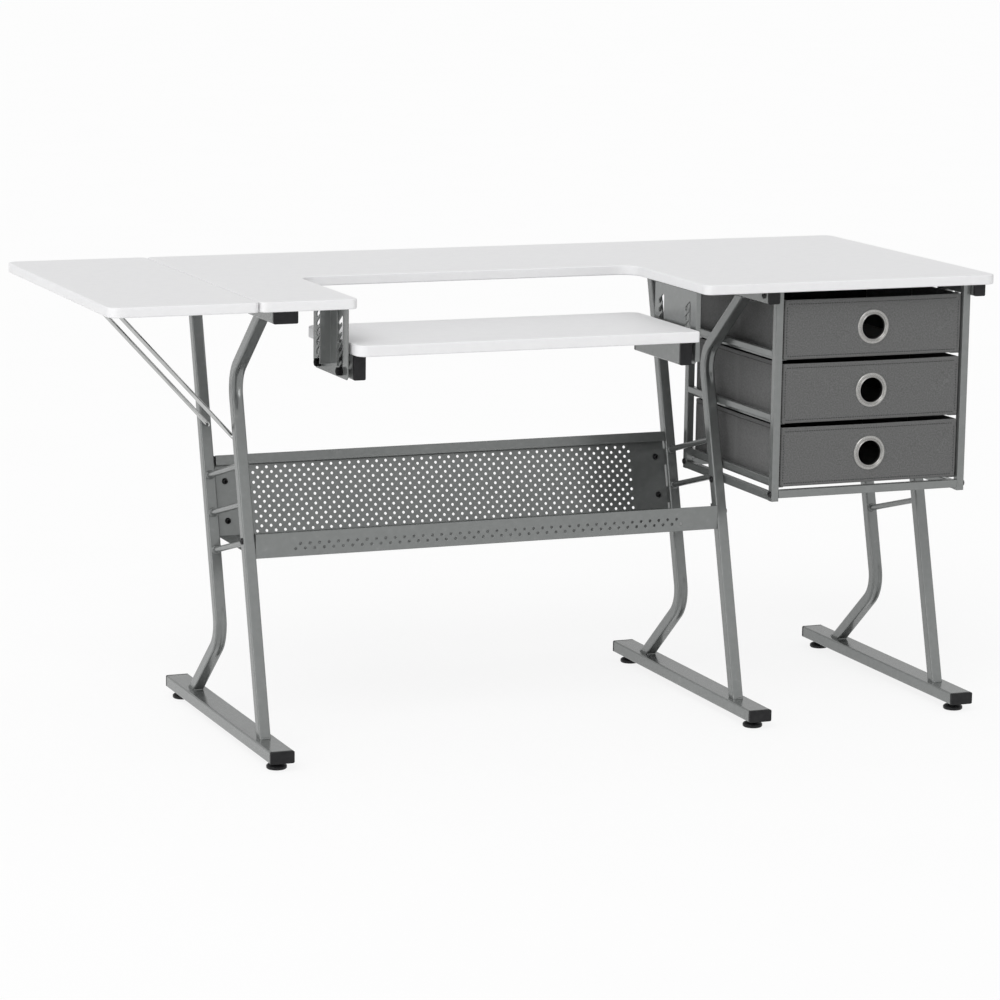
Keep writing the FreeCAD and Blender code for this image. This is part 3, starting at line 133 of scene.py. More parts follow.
def speckle(tree, place, grains, detail=2.0, roughness=0.5):
    """Noise with a given number of grains to the metre."""
    noise_node = tree.nodes.new("ShaderNodeTexNoise")
    noise_node.inputs["Scale"].default_value = grains
    noise_node.inputs["Detail"].default_value = detail
    noise_node.inputs["Roughness"].default_value = roughness
    tree.links.new(place, noise_node.inputs["Vector"])
    return noise_node.outputs["Fac"]


def rounded_edges(tree):
    """The normal of slightly rounded edges, and a mask that is 1 along those edges."""
    rounded = tree.nodes.new("ShaderNodeBevel")
    rounded.samples = EDGE_SAMPLES
    rounded.inputs["Radius"].default_value = EDGE_RADIUS
    flat = tree.nodes.new("ShaderNodeNewGeometry")
    turn = tree.nodes.new("ShaderNodeVectorMath")
    turn.operation = "DOT_PRODUCT"
    tree.links.new(rounded.outputs["Normal"], turn.inputs[0])
    tree.links.new(flat.outputs["Normal"], turn.inputs[1])
    mask = tree.nodes.new("ShaderNodeMapRange")
    mask.inputs["From Min"].default_value = FLAT_COSINE
    mask.inputs["From Max"].default_value = EDGE_COSINE
    tree.links.new(turn.outputs["Value"], mask.inputs["Value"])
    return rounded.outputs["Normal"], mask.outputs["Result"]


def relief(tree, heights, normal=None):
    """Bumps laid over each other: a pattern with its strength and its height, for each."""
    for source, strength, distance in heights:
        bump = tree.nodes.new("ShaderNodeBump")
        bump.inputs["Strength"].default_value = strength
        bump.inputs["Distance"].default_value = distance
        tree.links.new(source, bump.inputs["Height"])
        if normal:
            tree.links.new(normal, bump.inputs["Normal"])
        normal = bump.outputs["Normal"]
    return normal


def material(name, dark, light, worn, roughness, grains, bump, metallic=0.0, specular=0.5):
    """A surface whose colour, gloss and relief come from noise at the real scale, rubbed along its edges.

    The roughness is its two limits, and the bump is its grains, its strength and its height.
    """
    item, tree, shader = new_material(name)
    place = coordinates(tree)
    fine = speckle(tree, place, grains)
    broad = speckle(tree, place, grains / BROAD_GRAINS, detail=4.0)
    edge_normal, edge = rounded_edges(tree)
    rubbed = combined(tree, "MULTIPLY", edge, spread(tree, broad, LEAST_RUB, 1.0))
    shade = combined(tree, "MAXIMUM", broad, rubbed)
    tree.links.new(ramp_between(tree, shade, dark, light, worn), shader.inputs["Base Color"])
    tree.links.new(spread(tree, fine, *roughness), shader.inputs["Roughness"])
    bump_grains, strength, height = bump
    skin = speckle(tree, place, bump_grains, detail=3.0)
    tree.links.new(relief(tree, [(skin, strength, height)], edge_normal), shader.inputs["Normal"])
    shader.inputs["Metallic"].default_value = metallic
    shader.inputs["Specular IOR Level"].default_value = specular
    return item


board_white = material(
    "board_white", dark=(0.795, 0.795, 0.803), light=(0.811, 0.811, 0.818), worn=(0.77, 0.768, 0.765),
    roughness=(0.38, 0.5), grains=900, bump=(700, 0.05, 0.0002), specular=0.35)
grey_coat = material(
    "grey_coat", dark=(0.202, 0.21, 0.207), light=(0.216, 0.224, 0.221), worn=(0.3, 0.307, 0.305),
    roughness=(0.17, 0.25), grains=1400, bump=(420, 0.06, 0.0002), metallic=0.5)
black_plastic = material(
    "black_plastic", dark=(0.008, 0.008, 0.009), light=(0.014, 0.014, 0.015), worn=(0.03, 0.03, 0.031),
    roughness=(0.36, 0.52), grains=1200, bump=(1500, 0.25, 0.0001), specular=0.25)
knob_black = material(
    "knob_black", dark=(0.004, 0.004, 0.0045), light=(0.008, 0.008, 0.0085), worn=(0.016, 0.016, 0.0165),
    roughness=(0.5, 0.65), grains=1200, bump=(1500, 0.25, 0.0001), specular=0.08)
bolt_black = material(
    "bolt_black", dark=(0.014, 0.014, 0.015), light=(0.03, 0.03, 0.031), worn=(0.08, 0.08, 0.08),
    roughness=(0.28, 0.42), grains=1600, bump=(1800, 0.15, 0.0001), metallic=0.6)
bright_rod = material(
    "bright_rod", dark=(0.46, 0.465, 0.46), light=(0.54, 0.545, 0.54), worn=(0.6, 0.605, 0.6),
    roughness=(0.1, 0.18), grains=500, bump=(900, 0.03, 0.0001), metallic=1.0)
zinc = material(
    "zinc", dark=(0.5, 0.51, 0.52), light=(0.62, 0.63, 0.64), worn=(0.7, 0.71, 0.72),
    roughness=(0.28, 0.45), grains=500, bump=(600, 0.1, 0.0001), metallic=1.0)
nut_steel = material(
    "nut_steel", dark=(0.4, 0.4, 0.4), light=(0.52, 0.52, 0.52), worn=(0.6, 0.6, 0.6),
    roughness=(0.3, 0.42), grains=700, bump=(900, 0.1, 0.0001), metallic=1.0)
base_card = material(
    "base_card", dark=(0.10, 0.098, 0.095), light=(0.14, 0.137, 0.132), worn=(0.17, 0.166, 0.16),
    roughness=(0.75, 0.9), grains=900, bump=(1100, 0.4, 0.0002))
thread_dark = material(
    "thread_dark", dark=(0.015, 0.015, 0.015), light=(0.03, 0.03, 0.03), worn=(0.04, 0.04, 0.04),
    roughness=(0.6, 0.8), grains=2500, bump=(3000, 0.4, 0.0001))
thread_pale = material(
    "thread_pale", dark=(0.16, 0.16, 0.16), light=(0.2, 0.2, 0.2), worn=(0.22, 0.22, 0.22),
    roughness=(0.6, 0.8), grains=2500, bump=(3000, 0.4, 0.0001))


def brushed_ring(name, dark, light):
    """Plated metal brushed in circles about the piece's own middle."""
    item, tree, shader = new_material(name)
    place = coordinates(tree)
    rings = tree.nodes.new("ShaderNodeTexWave")
    rings.wave_type = "RINGS"
    rings.rings_direction = "Y"
    rings.inputs["Scale"].default_value = 900
    rings.inputs["Distortion"].default_value = 3.0
    rings.inputs["Detail"].default_value = 3.0
    tree.links.new(place, rings.inputs["Vector"])
    brushing = rings.outputs["Fac"]
    wander = speckle(tree, place, grains=260, detail=3.0)
    tree.links.new(ramp_between(tree, wander, dark, light), shader.inputs["Base Color"])
    tree.links.new(spread(tree, brushing, low=0.24, high=0.4), shader.inputs["Roughness"])
    strength = 0.12
    height = 0.00005
    tree.links.new(relief(tree, [(brushing, strength, height)]), shader.inputs["Normal"])
    shader.inputs["Metallic"].default_value = 1.0
    return item


def fabric(name, dark, light):
    """Box cloth: threads along the three axes, fine mottling and a little fuzz."""
    item, tree, shader = new_material(name)
    place = coordinates(tree)
    thread_strength = 0.4
    thread_height = 0.0003
    fuzz_strength = 0.25
    fuzz_height = 0.0001
    heights = []
    for direction in ("X", "Y", "Z"):
        wave = tree.nodes.new("ShaderNodeTexWave")
        wave.wave_type = "BANDS"
        wave.bands_direction = direction
        wave.inputs["Scale"].default_value = 150
        wave.inputs["Distortion"].default_value = 2.5
        wave.inputs["Detail"].default_value = 2.0
        wave.inputs["Detail Scale"].default_value = 2.0
        tree.links.new(place, wave.inputs["Vector"])
        heights.append((wave.outputs["Fac"], thread_strength, thread_height))
    mottling = speckle(tree, place, grains=460, detail=1.5, roughness=0.6)
    fuzz = speckle(tree, place, grains=1500)
    heights.append((fuzz, fuzz_strength, fuzz_height))
    tree.links.new(ramp_between(tree, mottling, dark, light), shader.inputs["Base Color"])
    tree.links.new(spread(tree, fuzz, low=0.78, high=0.95), shader.inputs["Roughness"])
    tree.links.new(relief(tree, heights), shader.inputs["Normal"])
    shader.inputs["Sheen Weight"].default_value = 0.25
    shader.inputs["Sheen Roughness"].default_value = 0.5
    shader.inputs["Specular IOR Level"].default_value = 0.2
    return item


ring_metal = brushed_ring("brushed_ring", dark=(0.355, 0.352, 0.34), light=(0.395, 0.39, 0.378))
fabric_grey = fabric("fabric_grey", dark=(0.099, 0.1, 0.099), light=(0.145, 0.146, 0.145))
# The lining is near black as painted shade: it darkens the inside of each drawer, where shadow falls.
lining_painted_shade = fabric("lining_painted_shade", dark=(0.018, 0.018, 0.019), light=(0.03, 0.03, 0.031))

FINISHES = {
    "board": board_white,
    "grey_steel": grey_coat,
    "black_plastic": black_plastic,
    "black_bolt": bolt_black,
    "chrome_rod": bright_rod,
    "ring_chrome": ring_metal,
    "zinc": zinc,
    "nut_steel": nut_steel,
    "grey_fabric": fabric_grey,
    "base_card": base_card,
}

slot_of = {entry["node"]: entry["material_slot"] for entry in record["subparts"]}
for name, slot in slot_of.items():
    nodes[name].data.materials.clear()
    nodes[name].data.materials.append(FINISHES[slot])


# Shared ways of making pieces

def make_piece(name, points, faces, finishes, body, slot, at=(0, 0, 0), shades=None):
    """A piece with its points in millimetres about a place, riding on a body of the table."""
    mesh = bpy.data.meshes.new(name)
    mesh.from_pydata([Vector(point) * MM for point in points], [], faces)
    for finish in finishes:
        mesh.materials.append(finish)
    if shades:
        mesh.polygons.foreach_set("material_index", shades)
    mesh.shade_smooth()
    mesh.set_sharp_from_angle(angle=SHARP)
    piece = bpy.data.objects.new(name, mesh)
    piece.location = Vector(at) * MM
    scene.collection.objects.link(piece)
    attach(piece, body)
    return piece


def loft(rings, count, closed=False):
    """Faces between rings of points, and across the two ends of a run that isn't closed."""
    faces = []
    for ring in range(rings if closed else rings - 1):
        here = ring * count
        there = (ring + 1) % rings * count
        for step in range(count):
            after = (step + 1) % count
            faces.append((here + step, here + after, there + after, there + step))
    if not closed:
        faces.append(tuple(reversed(range(count))))
        faces.append(tuple(range((rings - 1) * count, rings * count)))
    return faces


def turned(rings, seat, axis, count=24, closed=False):
    """Points and faces of rings of (radius, height) along an axis; a radius may change with the angle."""
    turn = Vector(axis).to_track_quat("Z", "Y")
    points = []
    for radius, height in rings:
        for step in range(count):
            angle = WHOLE_TURN * step / count
            reach = radius(angle) if callable(radius) else radius
            local = Vector((reach * math.cos(angle), reach * math.sin(angle), height))
            points.append(Vector(seat) + turn @ local)
    return points, loft(len(rings), count, closed)


def gather(parts):
    """Several sets of points and faces as one set."""
    points = []
    faces = []
    for more_points, more_faces in parts:
        start = len(points)
        points.extend(more_points)
        faces.extend(tuple(index + start for index in face) for face in more_faces)
    return points, faces


def eased(share):
    """A share between 0 and 1, with a soft start and a soft end."""
    share = min(max(share, 0), 1)
    return share * share * (3 - 2 * share)


def hexagon(apothem):
    """Six flats, as a radius that changes with the angle."""
    sixth = math.pi / 3
    return lambda angle: apothem / math.cos(angle % sixth - sixth / 2)


def cross(length, half_width):
    """Outline of a cross recess, as a radius that changes with the angle."""
    def radius(angle):
        along = max(abs(math.cos(angle)), TINY)
        aside = max(abs(math.sin(angle)), TINY)
        return max(min(length / along, half_width / aside), min(length / aside, half_width / along))
    return radius


def lobes(radius, depth, count):
    """Flutes round a grip, as a radius that changes with the angle."""
    return lambda angle: radius - depth * (1 + math.cos(count * angle)) / 2


# Bolts, screws and knobs

RIM_SHARE = 0.9
HEAD_MARGIN = 0.5
TIP_LENGTH = 1.5
TIP_TAPER = 0.8
THREAD_START = 1.2

BOLT_SIDES = 32
BOLT_PITCH = 1.6
BOLT_ROOT = 0.86
BOLT_TIP = 0.7
BOLT_PLAIN = 4
BOLT_NECK = 1.5
# Shares of a bolt head's radius and height, from its rim up
BOLT_DOME = ((1, 0), (1, 0.3), (0.95, 0.6), (0.82, 0.84), (0.64, 0.97))
RECESS_FLOOR = 0.45
SIX_SIDED = 0.4
CROSS_LENGTH = 0.55
CROSS_HALF = 0.16

KNOB_COUNT = 4
KNOB_SIDES = 64
KNOB_HEAD = 9
KNOB_FLUTES = 8
# Radius and height of the knob's foot, then radius, flute depth and height of its grip, then its dished top
KNOB_FOOT = ((3.2, 0), (6.9, 0), (7, 0.5), (7, 1.6), (6.3, 2.2), (5.4, 2.6))
KNOB_GRIP = ((6.7, 1.1, 3.3), (6.8, 1.2, 7.2), (6.2, 1.0, 8.3), (4.8, 0.5, 8.9))
KNOB_DISH = ((2.6, 9), (2.2, 8.6))
PIN_CREST = 2.9
PIN_ROOT = 2.5
PIN_TIP = 2.2
PIN_PITCH = 1.0
PIN_PLAIN = 2.5
PIN_IN_KNOB = 2
# Half width across a nut's flats and height from the pin's tip
NUT_RINGS = ((4.0, 0.02), (4.3, 0.5), (4.3, 3.5), (4.0, 3.98))


def solids_of(node):
    """The points of each separate solid of a node, in millimetres."""
    work = bmesh.new()
    work.from_mesh(nodes[node].data)
    bmesh.ops.remove_doubles(work, verts=work.verts, dist=TINY)
    groups = []
    seen = set()
    for first in work.verts:
        if first in seen:
            continue
        group = []
        waiting = [first]
        seen.add(first)
        while waiting:
            vertex = waiting.pop()
            group.append(vertex.co / MM)
            for edge in vertex.link_edges:
                other = edge.other_vert(vertex)
                if other not in seen:
                    seen.add(other)
                    waiting.append(other)
        groups.append(group)
    work.free()
    return groups


def measure_bolt(points):
    """Seat, outward direction, head radius, head height, shank radius and shank length of a headed bolt."""
    def limits(way):
        heights = [point.dot(way) for point in points]
        return min(heights), max(heights)

    def extent(way):
        low, high = limits(way)
        return high - low

    axis = max((X_AXIS, Y_AXIS, Z_AXIS, ACROSS), key=extent)
    side = Y_AXIS if axis == X_AXIS else X_AXIS
    centre = Vector()
    for way in (side, axis.cross(side)):
        low, high = limits(way)
        centre += way * (low + high) / 2
    reach = [(point - centre - axis * point.dot(axis)).length for point in points]
    heights = [point.dot(axis) for point in points]
    radius = max(reach)
    head = [height for height, distance in zip(heights, reach) if distance > RIM_SHARE * radius]
    if max(head) < max(heights) - HEAD_MARGIN:
        axis = -axis
        heights = [-height for height in heights]
        head = [-height for height in head]
    tip = min(heights)
    seat = min(head)
    shank = max(distance for distance, height in zip(reach, heights) if height < tip + TIP_LENGTH)
    return centre + axis * seat, axis, radius, max(heights) - seat, shank, seat - tip


def threaded(crest, root, tip, length, pitch, plain):
    """Rings of a threaded shank, from its tip up to the plain length under its seat."""
    rings = [(tip, -length), (crest, TIP_TAPER - length)]
    for turn in range(int((length - plain) / pitch)):
        low = THREAD_START - length + turn * pitch
        rings += [(crest, low), (root, low + pitch / 2)]
    return rings


def bolt(points, recess):
    """A domed head with a recess on a threaded shank."""
    seat, axis, radius, height, shank, length = measure_bolt(points)
    rings = threaded(shank, BOLT_ROOT * shank, BOLT_TIP * shank, length, BOLT_PITCH, BOLT_PLAIN)
    rings += [(shank, -BOLT_NECK), (shank, 0)]
    rings += [(wide * radius, high * height) for wide, high in BOLT_DOME]
    rings += [(recess(radius), height), (recess(radius), RECESS_FLOOR * height)]
    return turned(rings, seat, axis, count=BOLT_SIDES)


def make_fasteners():
    """Bolts with a six-sided recess and screws with a crossed one."""
    def six_sided(radius):
        return hexagon(SIX_SIDED * radius)

    def crossed(radius):
        return cross(CROSS_LENGTH * radius, CROSS_HALF * radius)

    bodies = record["behaviour"]["bodies"]
    body_of = {node: body for body, members in bodies.items() for node in members}
    recesses = {
        "tray_bolts": six_sided,
        "frame_bolts": six_sided,
        "board_screws": crossed,
        "leaf_screws": crossed,
        "platform_screws": crossed,
    }
    for node, recess in recesses.items():
        points, faces = gather(bolt(solid, recess) for solid in solids_of(node))
        slot = slot_of[node]
        made = make_piece(node + "_modelled", points, faces, [FINISHES[slot]], body_of[node], slot)
        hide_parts(node)


def make_knobs():
    """Fluted clamping knobs with their threaded pins and nuts."""
    grip = [(lobes(radius, depth, KNOB_FLUTES), height) for radius, depth, height in KNOB_GRIP]
    rings = [*KNOB_FOOT, *grip, *KNOB_DISH]
    for number in range(1, KNOB_COUNT + 1):
        low, high = (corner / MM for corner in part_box(f"knob_{number}"))
        body = f"clamp_{number}"
        on_left = low.x < 0
        axis = -X_AXIS if on_left else X_AXIS
        seat = (low + high) / 2
        seat.x = low.x + KNOB_HEAD if on_left else high.x - KNOB_HEAD
        reach = high.x - low.x - KNOB_HEAD
        points, faces = turned(rings, seat, axis, count=KNOB_SIDES)
        knob = make_piece(f"clamp_knob_{number}", points, faces, [knob_black], body, "black_plastic")
        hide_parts(f"knob_{number}")
        shank = threaded(PIN_CREST, PIN_ROOT, PIN_TIP, reach, PIN_PITCH, PIN_PLAIN)
        shank += [(PIN_CREST, 0), (PIN_CREST, PIN_IN_KNOB)]
        nut = [(hexagon(flat), height - reach) for flat, height in NUT_RINGS]
        points, faces = gather([turned(shank, seat, axis), turned(nut, seat, axis)])
        make_piece(f"clamp_pin_{number}", points, faces, [nut_steel], body, "nut_steel")


# Leg tubes, each bent once, in the plane of their leg and about its middle

TUBE_SPACING = 94
TUBE_REACH = 340
TUBE_HALF = 9.5
TUBE_CORNER = 2.5
BEND_RISE = 222.7
BEND_RADIUS = 55
BRANCH = math.radians(50)
BEND_STEPS = 22
NEAR_BEND = (3.5, 7, 11, 16, 22, 28, 34, 40, 48, 60)
BELOW_BEND = (*NEAR_BEND, 100, 200)
FLAT_STEPS = 12
CORNER_STEPS = 4

# The hollows that bending presses along the middle of a tube's inner and outer faces

INNER_HOLLOW = 3.6
OUTER_HOLLOW = 1.8
HOLLOW_HALF = 6.4
HOLLOW_REACH = 56
HOLLOW_FADE = 34
FACE_MARGIN = 0.01


def tube_path():
    """Centre line of a front leg tube: place, direction and share of the full hollow."""
    bend = Vector((BEND_RISE * math.tan(LEAN) - TUBE_SPACING, BEND_RISE))
    low_way = Vector((math.sin(LEAN), math.cos(LEAN)))
    high_way = Vector((-math.sin(BRANCH), math.cos(BRANCH)))
    tangent = BEND_RADIUS * math.tan((LEAN + BRANCH) / 2)
    low_end = bend - low_way * tangent
    high_end = bend + high_way * tangent
    centre = low_end + Vector((-low_way.y, low_way.x)) * BEND_RADIUS
    stations = [(low_end + low_way * ((-TUBE_REACH - low_end.y) / low_way.y), low_way)]
    stations += [(low_end - low_way * step, low_way) for step in reversed(BELOW_BEND)]
    for step in range(BEND_STEPS + 1):
        angle = (LEAN + BRANCH) * step / BEND_STEPS - LEAN
        way = Vector((-math.sin(angle), math.cos(angle)))
        out = Vector((math.cos(angle), math.sin(angle)))
        stations.append((centre + out * BEND_RADIUS, way))
    stations += [(high_end + high_way * step, high_way) for step in NEAR_BEND]
    stations.append((high_end + high_way * ((TUBE_REACH - high_end.y) / high_way.y), high_way))
    middle = centre + (bend - centre).normalized() * BEND_RADIUS
    path = []
    for place, way in stations:
        to_middle = (place - middle).length
        path.append((place, way, eased((HOLLOW_REACH - to_middle) / HOLLOW_FADE)))
    return path


def tube_section():
    """Rounded square, as points across X and toward the inner side of the bend."""
    flat = TUBE_HALF - TUBE_CORNER
    points = []
    for side in range(4):
        turn = Matrix.Rotation(-side * QUARTER, 2)
        for step in range(FLAT_STEPS):
            points.append(turn @ Vector((-flat + 2 * flat * step / FLAT_STEPS, TUBE_HALF)))
        for step in range(CORNER_STEPS):
            angle = QUARTER * step / CORNER_STEPS
            out = Vector((math.sin(angle), math.cos(angle)))
            points.append(turn @ (Vector((flat, flat)) + out * TUBE_CORNER))
    return points


def tube_points(path, section, x, turn):
    """Points of one bent tube with its hollows, its ends cut level."""
    points = []
    last = len(path) - 1
    for index, (place, way, share) in enumerate(path):
        inner = Vector((-way.y, way.x))
        for across, out in section:
            aside = min(1, abs(across) / HOLLOW_HALF)
            dent = share * max(0, math.cos(QUARTER * aside)) ** 2
            if abs(out) > TUBE_HALF - FACE_MARGIN:
                out -= dent * (INNER_HOLLOW if out > 0 else -OUTER_HOLLOW)
            spot = place + inner * out
            if index in (0, last):
                level = TUBE_REACH if index else -TUBE_REACH
                spot += way * ((level - spot.y) / way.y)
            points.append(Vector((x + across, LEG_Y + turn * spot.x, LEG_Z + turn * spot.y)))
    return points


def make_leg_tubes():
    """The bent square tubes of the three legs; a back tube is a front tube turned end for end."""
    path = tube_path()
    section = tube_section()
    faces = loft(len(path), len(section))
    for name, turn in (("front_tube", 1), ("back_tube", -1)):
        for side, x in LEG_X.items():
            points = tube_points(path, section, x, turn)
            tube = make_piece(f"{name}_{side}_bent", points, faces, [grey_coat], "frame", "grey_steel")
            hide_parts(f"{name}_{side}")


# Weld beads

BEAD_SIDES = 8
BEAD_WAVE = 0.22
BEAD_RIPPLE = 0.45
BEAD_TIP = 0.35
BEAD_TAPER = 0.5
BEAD_LIFT = 0.5

RUNG_RADIUS = 5
RUNG_RISE = 62
RUNG_HALF = 81.3
RUNG_BEAD = 2.1
RUNG_BEAD_STEPS = 28
LEG_SEED = 7

# Levels of the tubes' ends, with the way that leads along the tube
TUBE_ENDS = ((34, 1), (714, -1))
LEVEL_MARGIN = 0.2
END_BEAD = 1.7
END_BEAD_RISE = 0.6
END_BEAD_STEPS = 10
END_BEAD_STEP = 0.8


def bead(path, radius, closed, seed):
    """A wavy weld bead along points; each point has its two cross directions."""
    points = []
    last = len(path) - 1
    for index, (place, first, second) in enumerate(path):
        swell = radius * (1 + BEAD_WAVE * noise.noise(place * BEAD_RIPPLE + X_AXIS * seed))
        if not closed:
            swell *= min(1, BEAD_TIP + BEAD_TAPER * min(index, last - index))
        for step in range(BEAD_SIDES):
            angle = WHOLE_TURN * step / BEAD_SIDES
            points.append(place + (first * math.cos(angle) + second * math.sin(angle)) * swell)
    faces = loft(len(path), BEAD_SIDES, closed)
    start, first, second = path[0]
    if first.cross(second).dot(path[1][0] - start) < 0:
        faces = [tuple(reversed(face)) for face in faces]
    return points, faces


def rung_bead(x, level, end, seed):
    """A bead round one end of a rung."""
    middle = Vector((x, LEG_Y, LEG_Z)) + ALONG * RUNG_RISE * level
    centre = middle + ACROSS * end * (RUNG_HALF - BEAD_LIFT)
    ring = []
    for step in range(RUNG_BEAD_STEPS):
        angle = WHOLE_TURN * step / RUNG_BEAD_STEPS
        out = X_AXIS * math.cos(angle) + ALONG * math.sin(angle)
        ring.append((centre + out * (RUNG_RADIUS + BEAD_LIFT), out, -ACROSS * end))
    return bead(ring, RUNG_BEAD, True, seed)


def end_bead(x, y, out, level, up):
    """A bead along one edge of a leg tube's end."""
    row = []
    for step in range(-END_BEAD_STEPS, END_BEAD_STEPS + 1):
        place = Vector((x + step * END_BEAD_STEP, y + out * BEAD_LIFT, level + up * END_BEAD_RISE))
        row.append((place, Y_AXIS * out, Z_AXIS * up))
    return bead(row, END_BEAD, False, y)


def make_welds():
    """Beads round the rung ends and across the ends of the leg tubes."""
    beads = []
    for leg, x in enumerate(LEG_X.values()):
        for level in (-1, 0, 1):
            for end in (-1, 1):
                beads.append(rung_bead(x, level, end, leg * LEG_SEED + level))
    for name in ("front_tube", "back_tube"):
        for side, x in LEG_X.items():
            spots = [vertex.co / MM for vertex in nodes[f"{name}_{side}"].data.vertices]
            for level, up in TUBE_ENDS:
                ends = [spot.y for spot in spots if abs(spot.z - level) < LEVEL_MARGIN]
                beads.append(end_bead(x, min(ends), -1, level, up))
                beads.append(end_bead(x, max(ends), 1, level, up))
    points, faces = gather(beads)
    make_piece("weld_beads", points, faces, [grey_coat], "frame", "grey_steel")


# Fabric drawers: side 0 of a drawer is its front, 1 its right, 2 its back and 3 its left

DRAWERS = (1, 2, 3)
FRONT = 0
SIDE_WAYS = (Vector((1, 0)), Vector((0, 1)), Vector((-1, 0)), Vector((0, -1)))
WALL = 2.95
OUTLINE_CORNER = 1.6
CORNER_PARTS = (0.25, 0.5, 0.75)
FRONT_STEP = 2.4
WALL_STEP = 5.5
HOLE = 22.5
HOLE_RIM = 0.1

# Rows of the shell: heights up a wall, then distance inside the outline and height round the foot and the top
FOOT_ROWS = (4, 4.6, 5.2, 5.6, 6, 6.6, 7.6, 9.4, 11.8)
WALL_ROWS = tuple(14 + 2.4 * step for step in range(30))
HEM_ROWS = (85.4, 86.5, 87.4, 88, 88.4, 88.8, 89.6, 90.6, 91.4, 91.8, 92.2, 92.6, 93.4, 94.4, 95.6, 97)
HEIGHTS = (*FOOT_ROWS, *WALL_ROWS, *HEM_ROWS)
FOOT_ROUND = ((3.2, 0.05), (1.6, 0.35), (0.6, 1.2), (0.12, 2.8))
TOP_ROUND = ((0.25, 98.1), (0.8, 98.75), (1.5, 98.95))
TOP_LINING = ((2.2, 98.7), (2.75, 98.0))
FLOOR_ROUND = ((WALL, 3.6), (3.6, 2.9))
HEM_END = 86.8
HEM_STEP = 0.6
LINING_GAP = 0.9
TOP_FADE = 2.5

# Sewn rows: their places, and how deep and wide they draw the cloth in
TOP_STITCH = 92
BOTTOM_STITCH = 5.6
EDGE_STITCH = 4.5
ROW_DEPTH = 0.35
ROW_WIDTH = 1.1
HEM_DROP = 3.6
HEM_DEPTH = 0.2
HEM_WIDTH = 0.8
EDGE_DEPTH = 0.3
EDGE_WIDTH = 1.0

# Slack of the cloth: its limits, its bows, its waves and its tight corners
LEAST_SLACK = 0.04
MOST_SLACK = 2.8
FRONT_BOW = 0.65
BACK_BOW = 1.0
SIDE_BOW = 1.9
FOLD_WIDTH = 13
CORNER_WIDTH = 26
FOOT_RISE = 6
TOP_LIFT = 0.4
TOP_DIP = 0.9
SIDE_SEED = 3.7
DRAWER_SEED = 11.3
WAVE_ALONG = 0.011
WAVE_UP = 0.022
WAVE_DEPTH = 0.3
RIPPLE_DEPTH = 0.12
RIPPLES = 3.1
WAVE_RISE = 6
TIGHT_SINK = 0.35
TIGHT_LEAST = 0.2
TIGHT_REACH = 14
RING_FLAT = 29
RING_FADE = 22

# The slanting crease at the upper right of a front, measured from that corner
CREASE_START = (8, 15)
CREASE_SLOPE = 0.73
CREASE_DEPTH = 2.6
CREASE_STEEP = 6
CREASE_GENTLE = 20
CREASE_MIDDLE = (26, 40)
CREASE_SPREAD = (20, 26)

STITCH_PITCH = 4.4
STITCH_LENGTH = 2.7
STITCH_RADIUS = 0.75
STITCH_SINK = 0.02
ROW_MARGIN = 6
EDGE_ROW_START = 3
EDGE_ROW_MARGIN = 4
SEAM_START = 14
SEAM_COUNT = 19
SEAM_LENGTH = 3.6
SEAM_RADIUS = 0.7
SEAM_LIFT = 0.1
SEAM_INSET = 1
# Places along one stitch and its thickness there, as shares of its length and radius
STITCH_RINGS = ((-0.5, 0.25), (-0.3, 0.9), (0.3, 0.9), (0.5, 0.25))
STITCH_SIDES = 6


def outward(along):
    """The way out of a wall that runs along a direction."""
    return Vector((along.y, -along.x))


def groove(distance, half_width):
    """A soft furrow, 1 at its middle."""
    return math.exp(-(distance / half_width) ** 2)


def thread(middle, along, out, length, radius):
    """One stitch: a short rounded length of thread."""
    side = out.cross(along)
    points = []
    for share, swell in STITCH_RINGS:
        for step in range(STITCH_SIDES):
            angle = WHOLE_TURN * step / STITCH_SIDES
            reach = (side * math.cos(angle) + out * math.sin(angle)) * radius * swell
            points.append(middle + along * length * share + reach)
    return points, loft(len(STITCH_RINGS), STITCH_SIDES)


def bin_outline(width, depth):
    """Points round a drawer seen from above, from the left of its front: place, outward, side, distance."""
    spots = []
    for side, along in enumerate(SIDE_WAYS):
        length, across = (depth, width) if side % 2 else (width, depth)
        out = outward(along)
        start = out * across / 2 - along * length / 2
        straight = length - 2 * OUTLINE_CORNER
        count = round(straight / (FRONT_STEP if side == FRONT else WALL_STEP))
        for index in range(count + 1):
            distance = OUTLINE_CORNER + straight * index / count
            spots.append((start + along * distance, out, side, distance))
        centre = start + along * (length - OUTLINE_CORNER) - out * OUTLINE_CORNER
        for part in CORNER_PARTS:
            way = out * math.cos(part * QUARTER) + along * math.sin(part * QUARTER)
            spots.append((centre + way * OUTLINE_CORNER, way, side, length))
    return spots


def shell_rows():
    """Rows up the outside, over the folded top and down the inside: whether inside, how far in, height."""
    rows = [(False, inward, height) for inward, height in FOOT_ROUND]
    rows += [(False, 0, height) for height in HEIGHTS]
    rows += [(False, inward, height) for inward, height in TOP_ROUND]
    rows += [(True, inward, height) for inward, height in TOP_LINING]
    for height in reversed(HEIGHTS):
        rows.append((True, WALL if height > HEM_END else WALL - HEM_STEP, height))
    rows += [(True, inward, height) for inward, height in FLOOR_ROUND]
    return rows


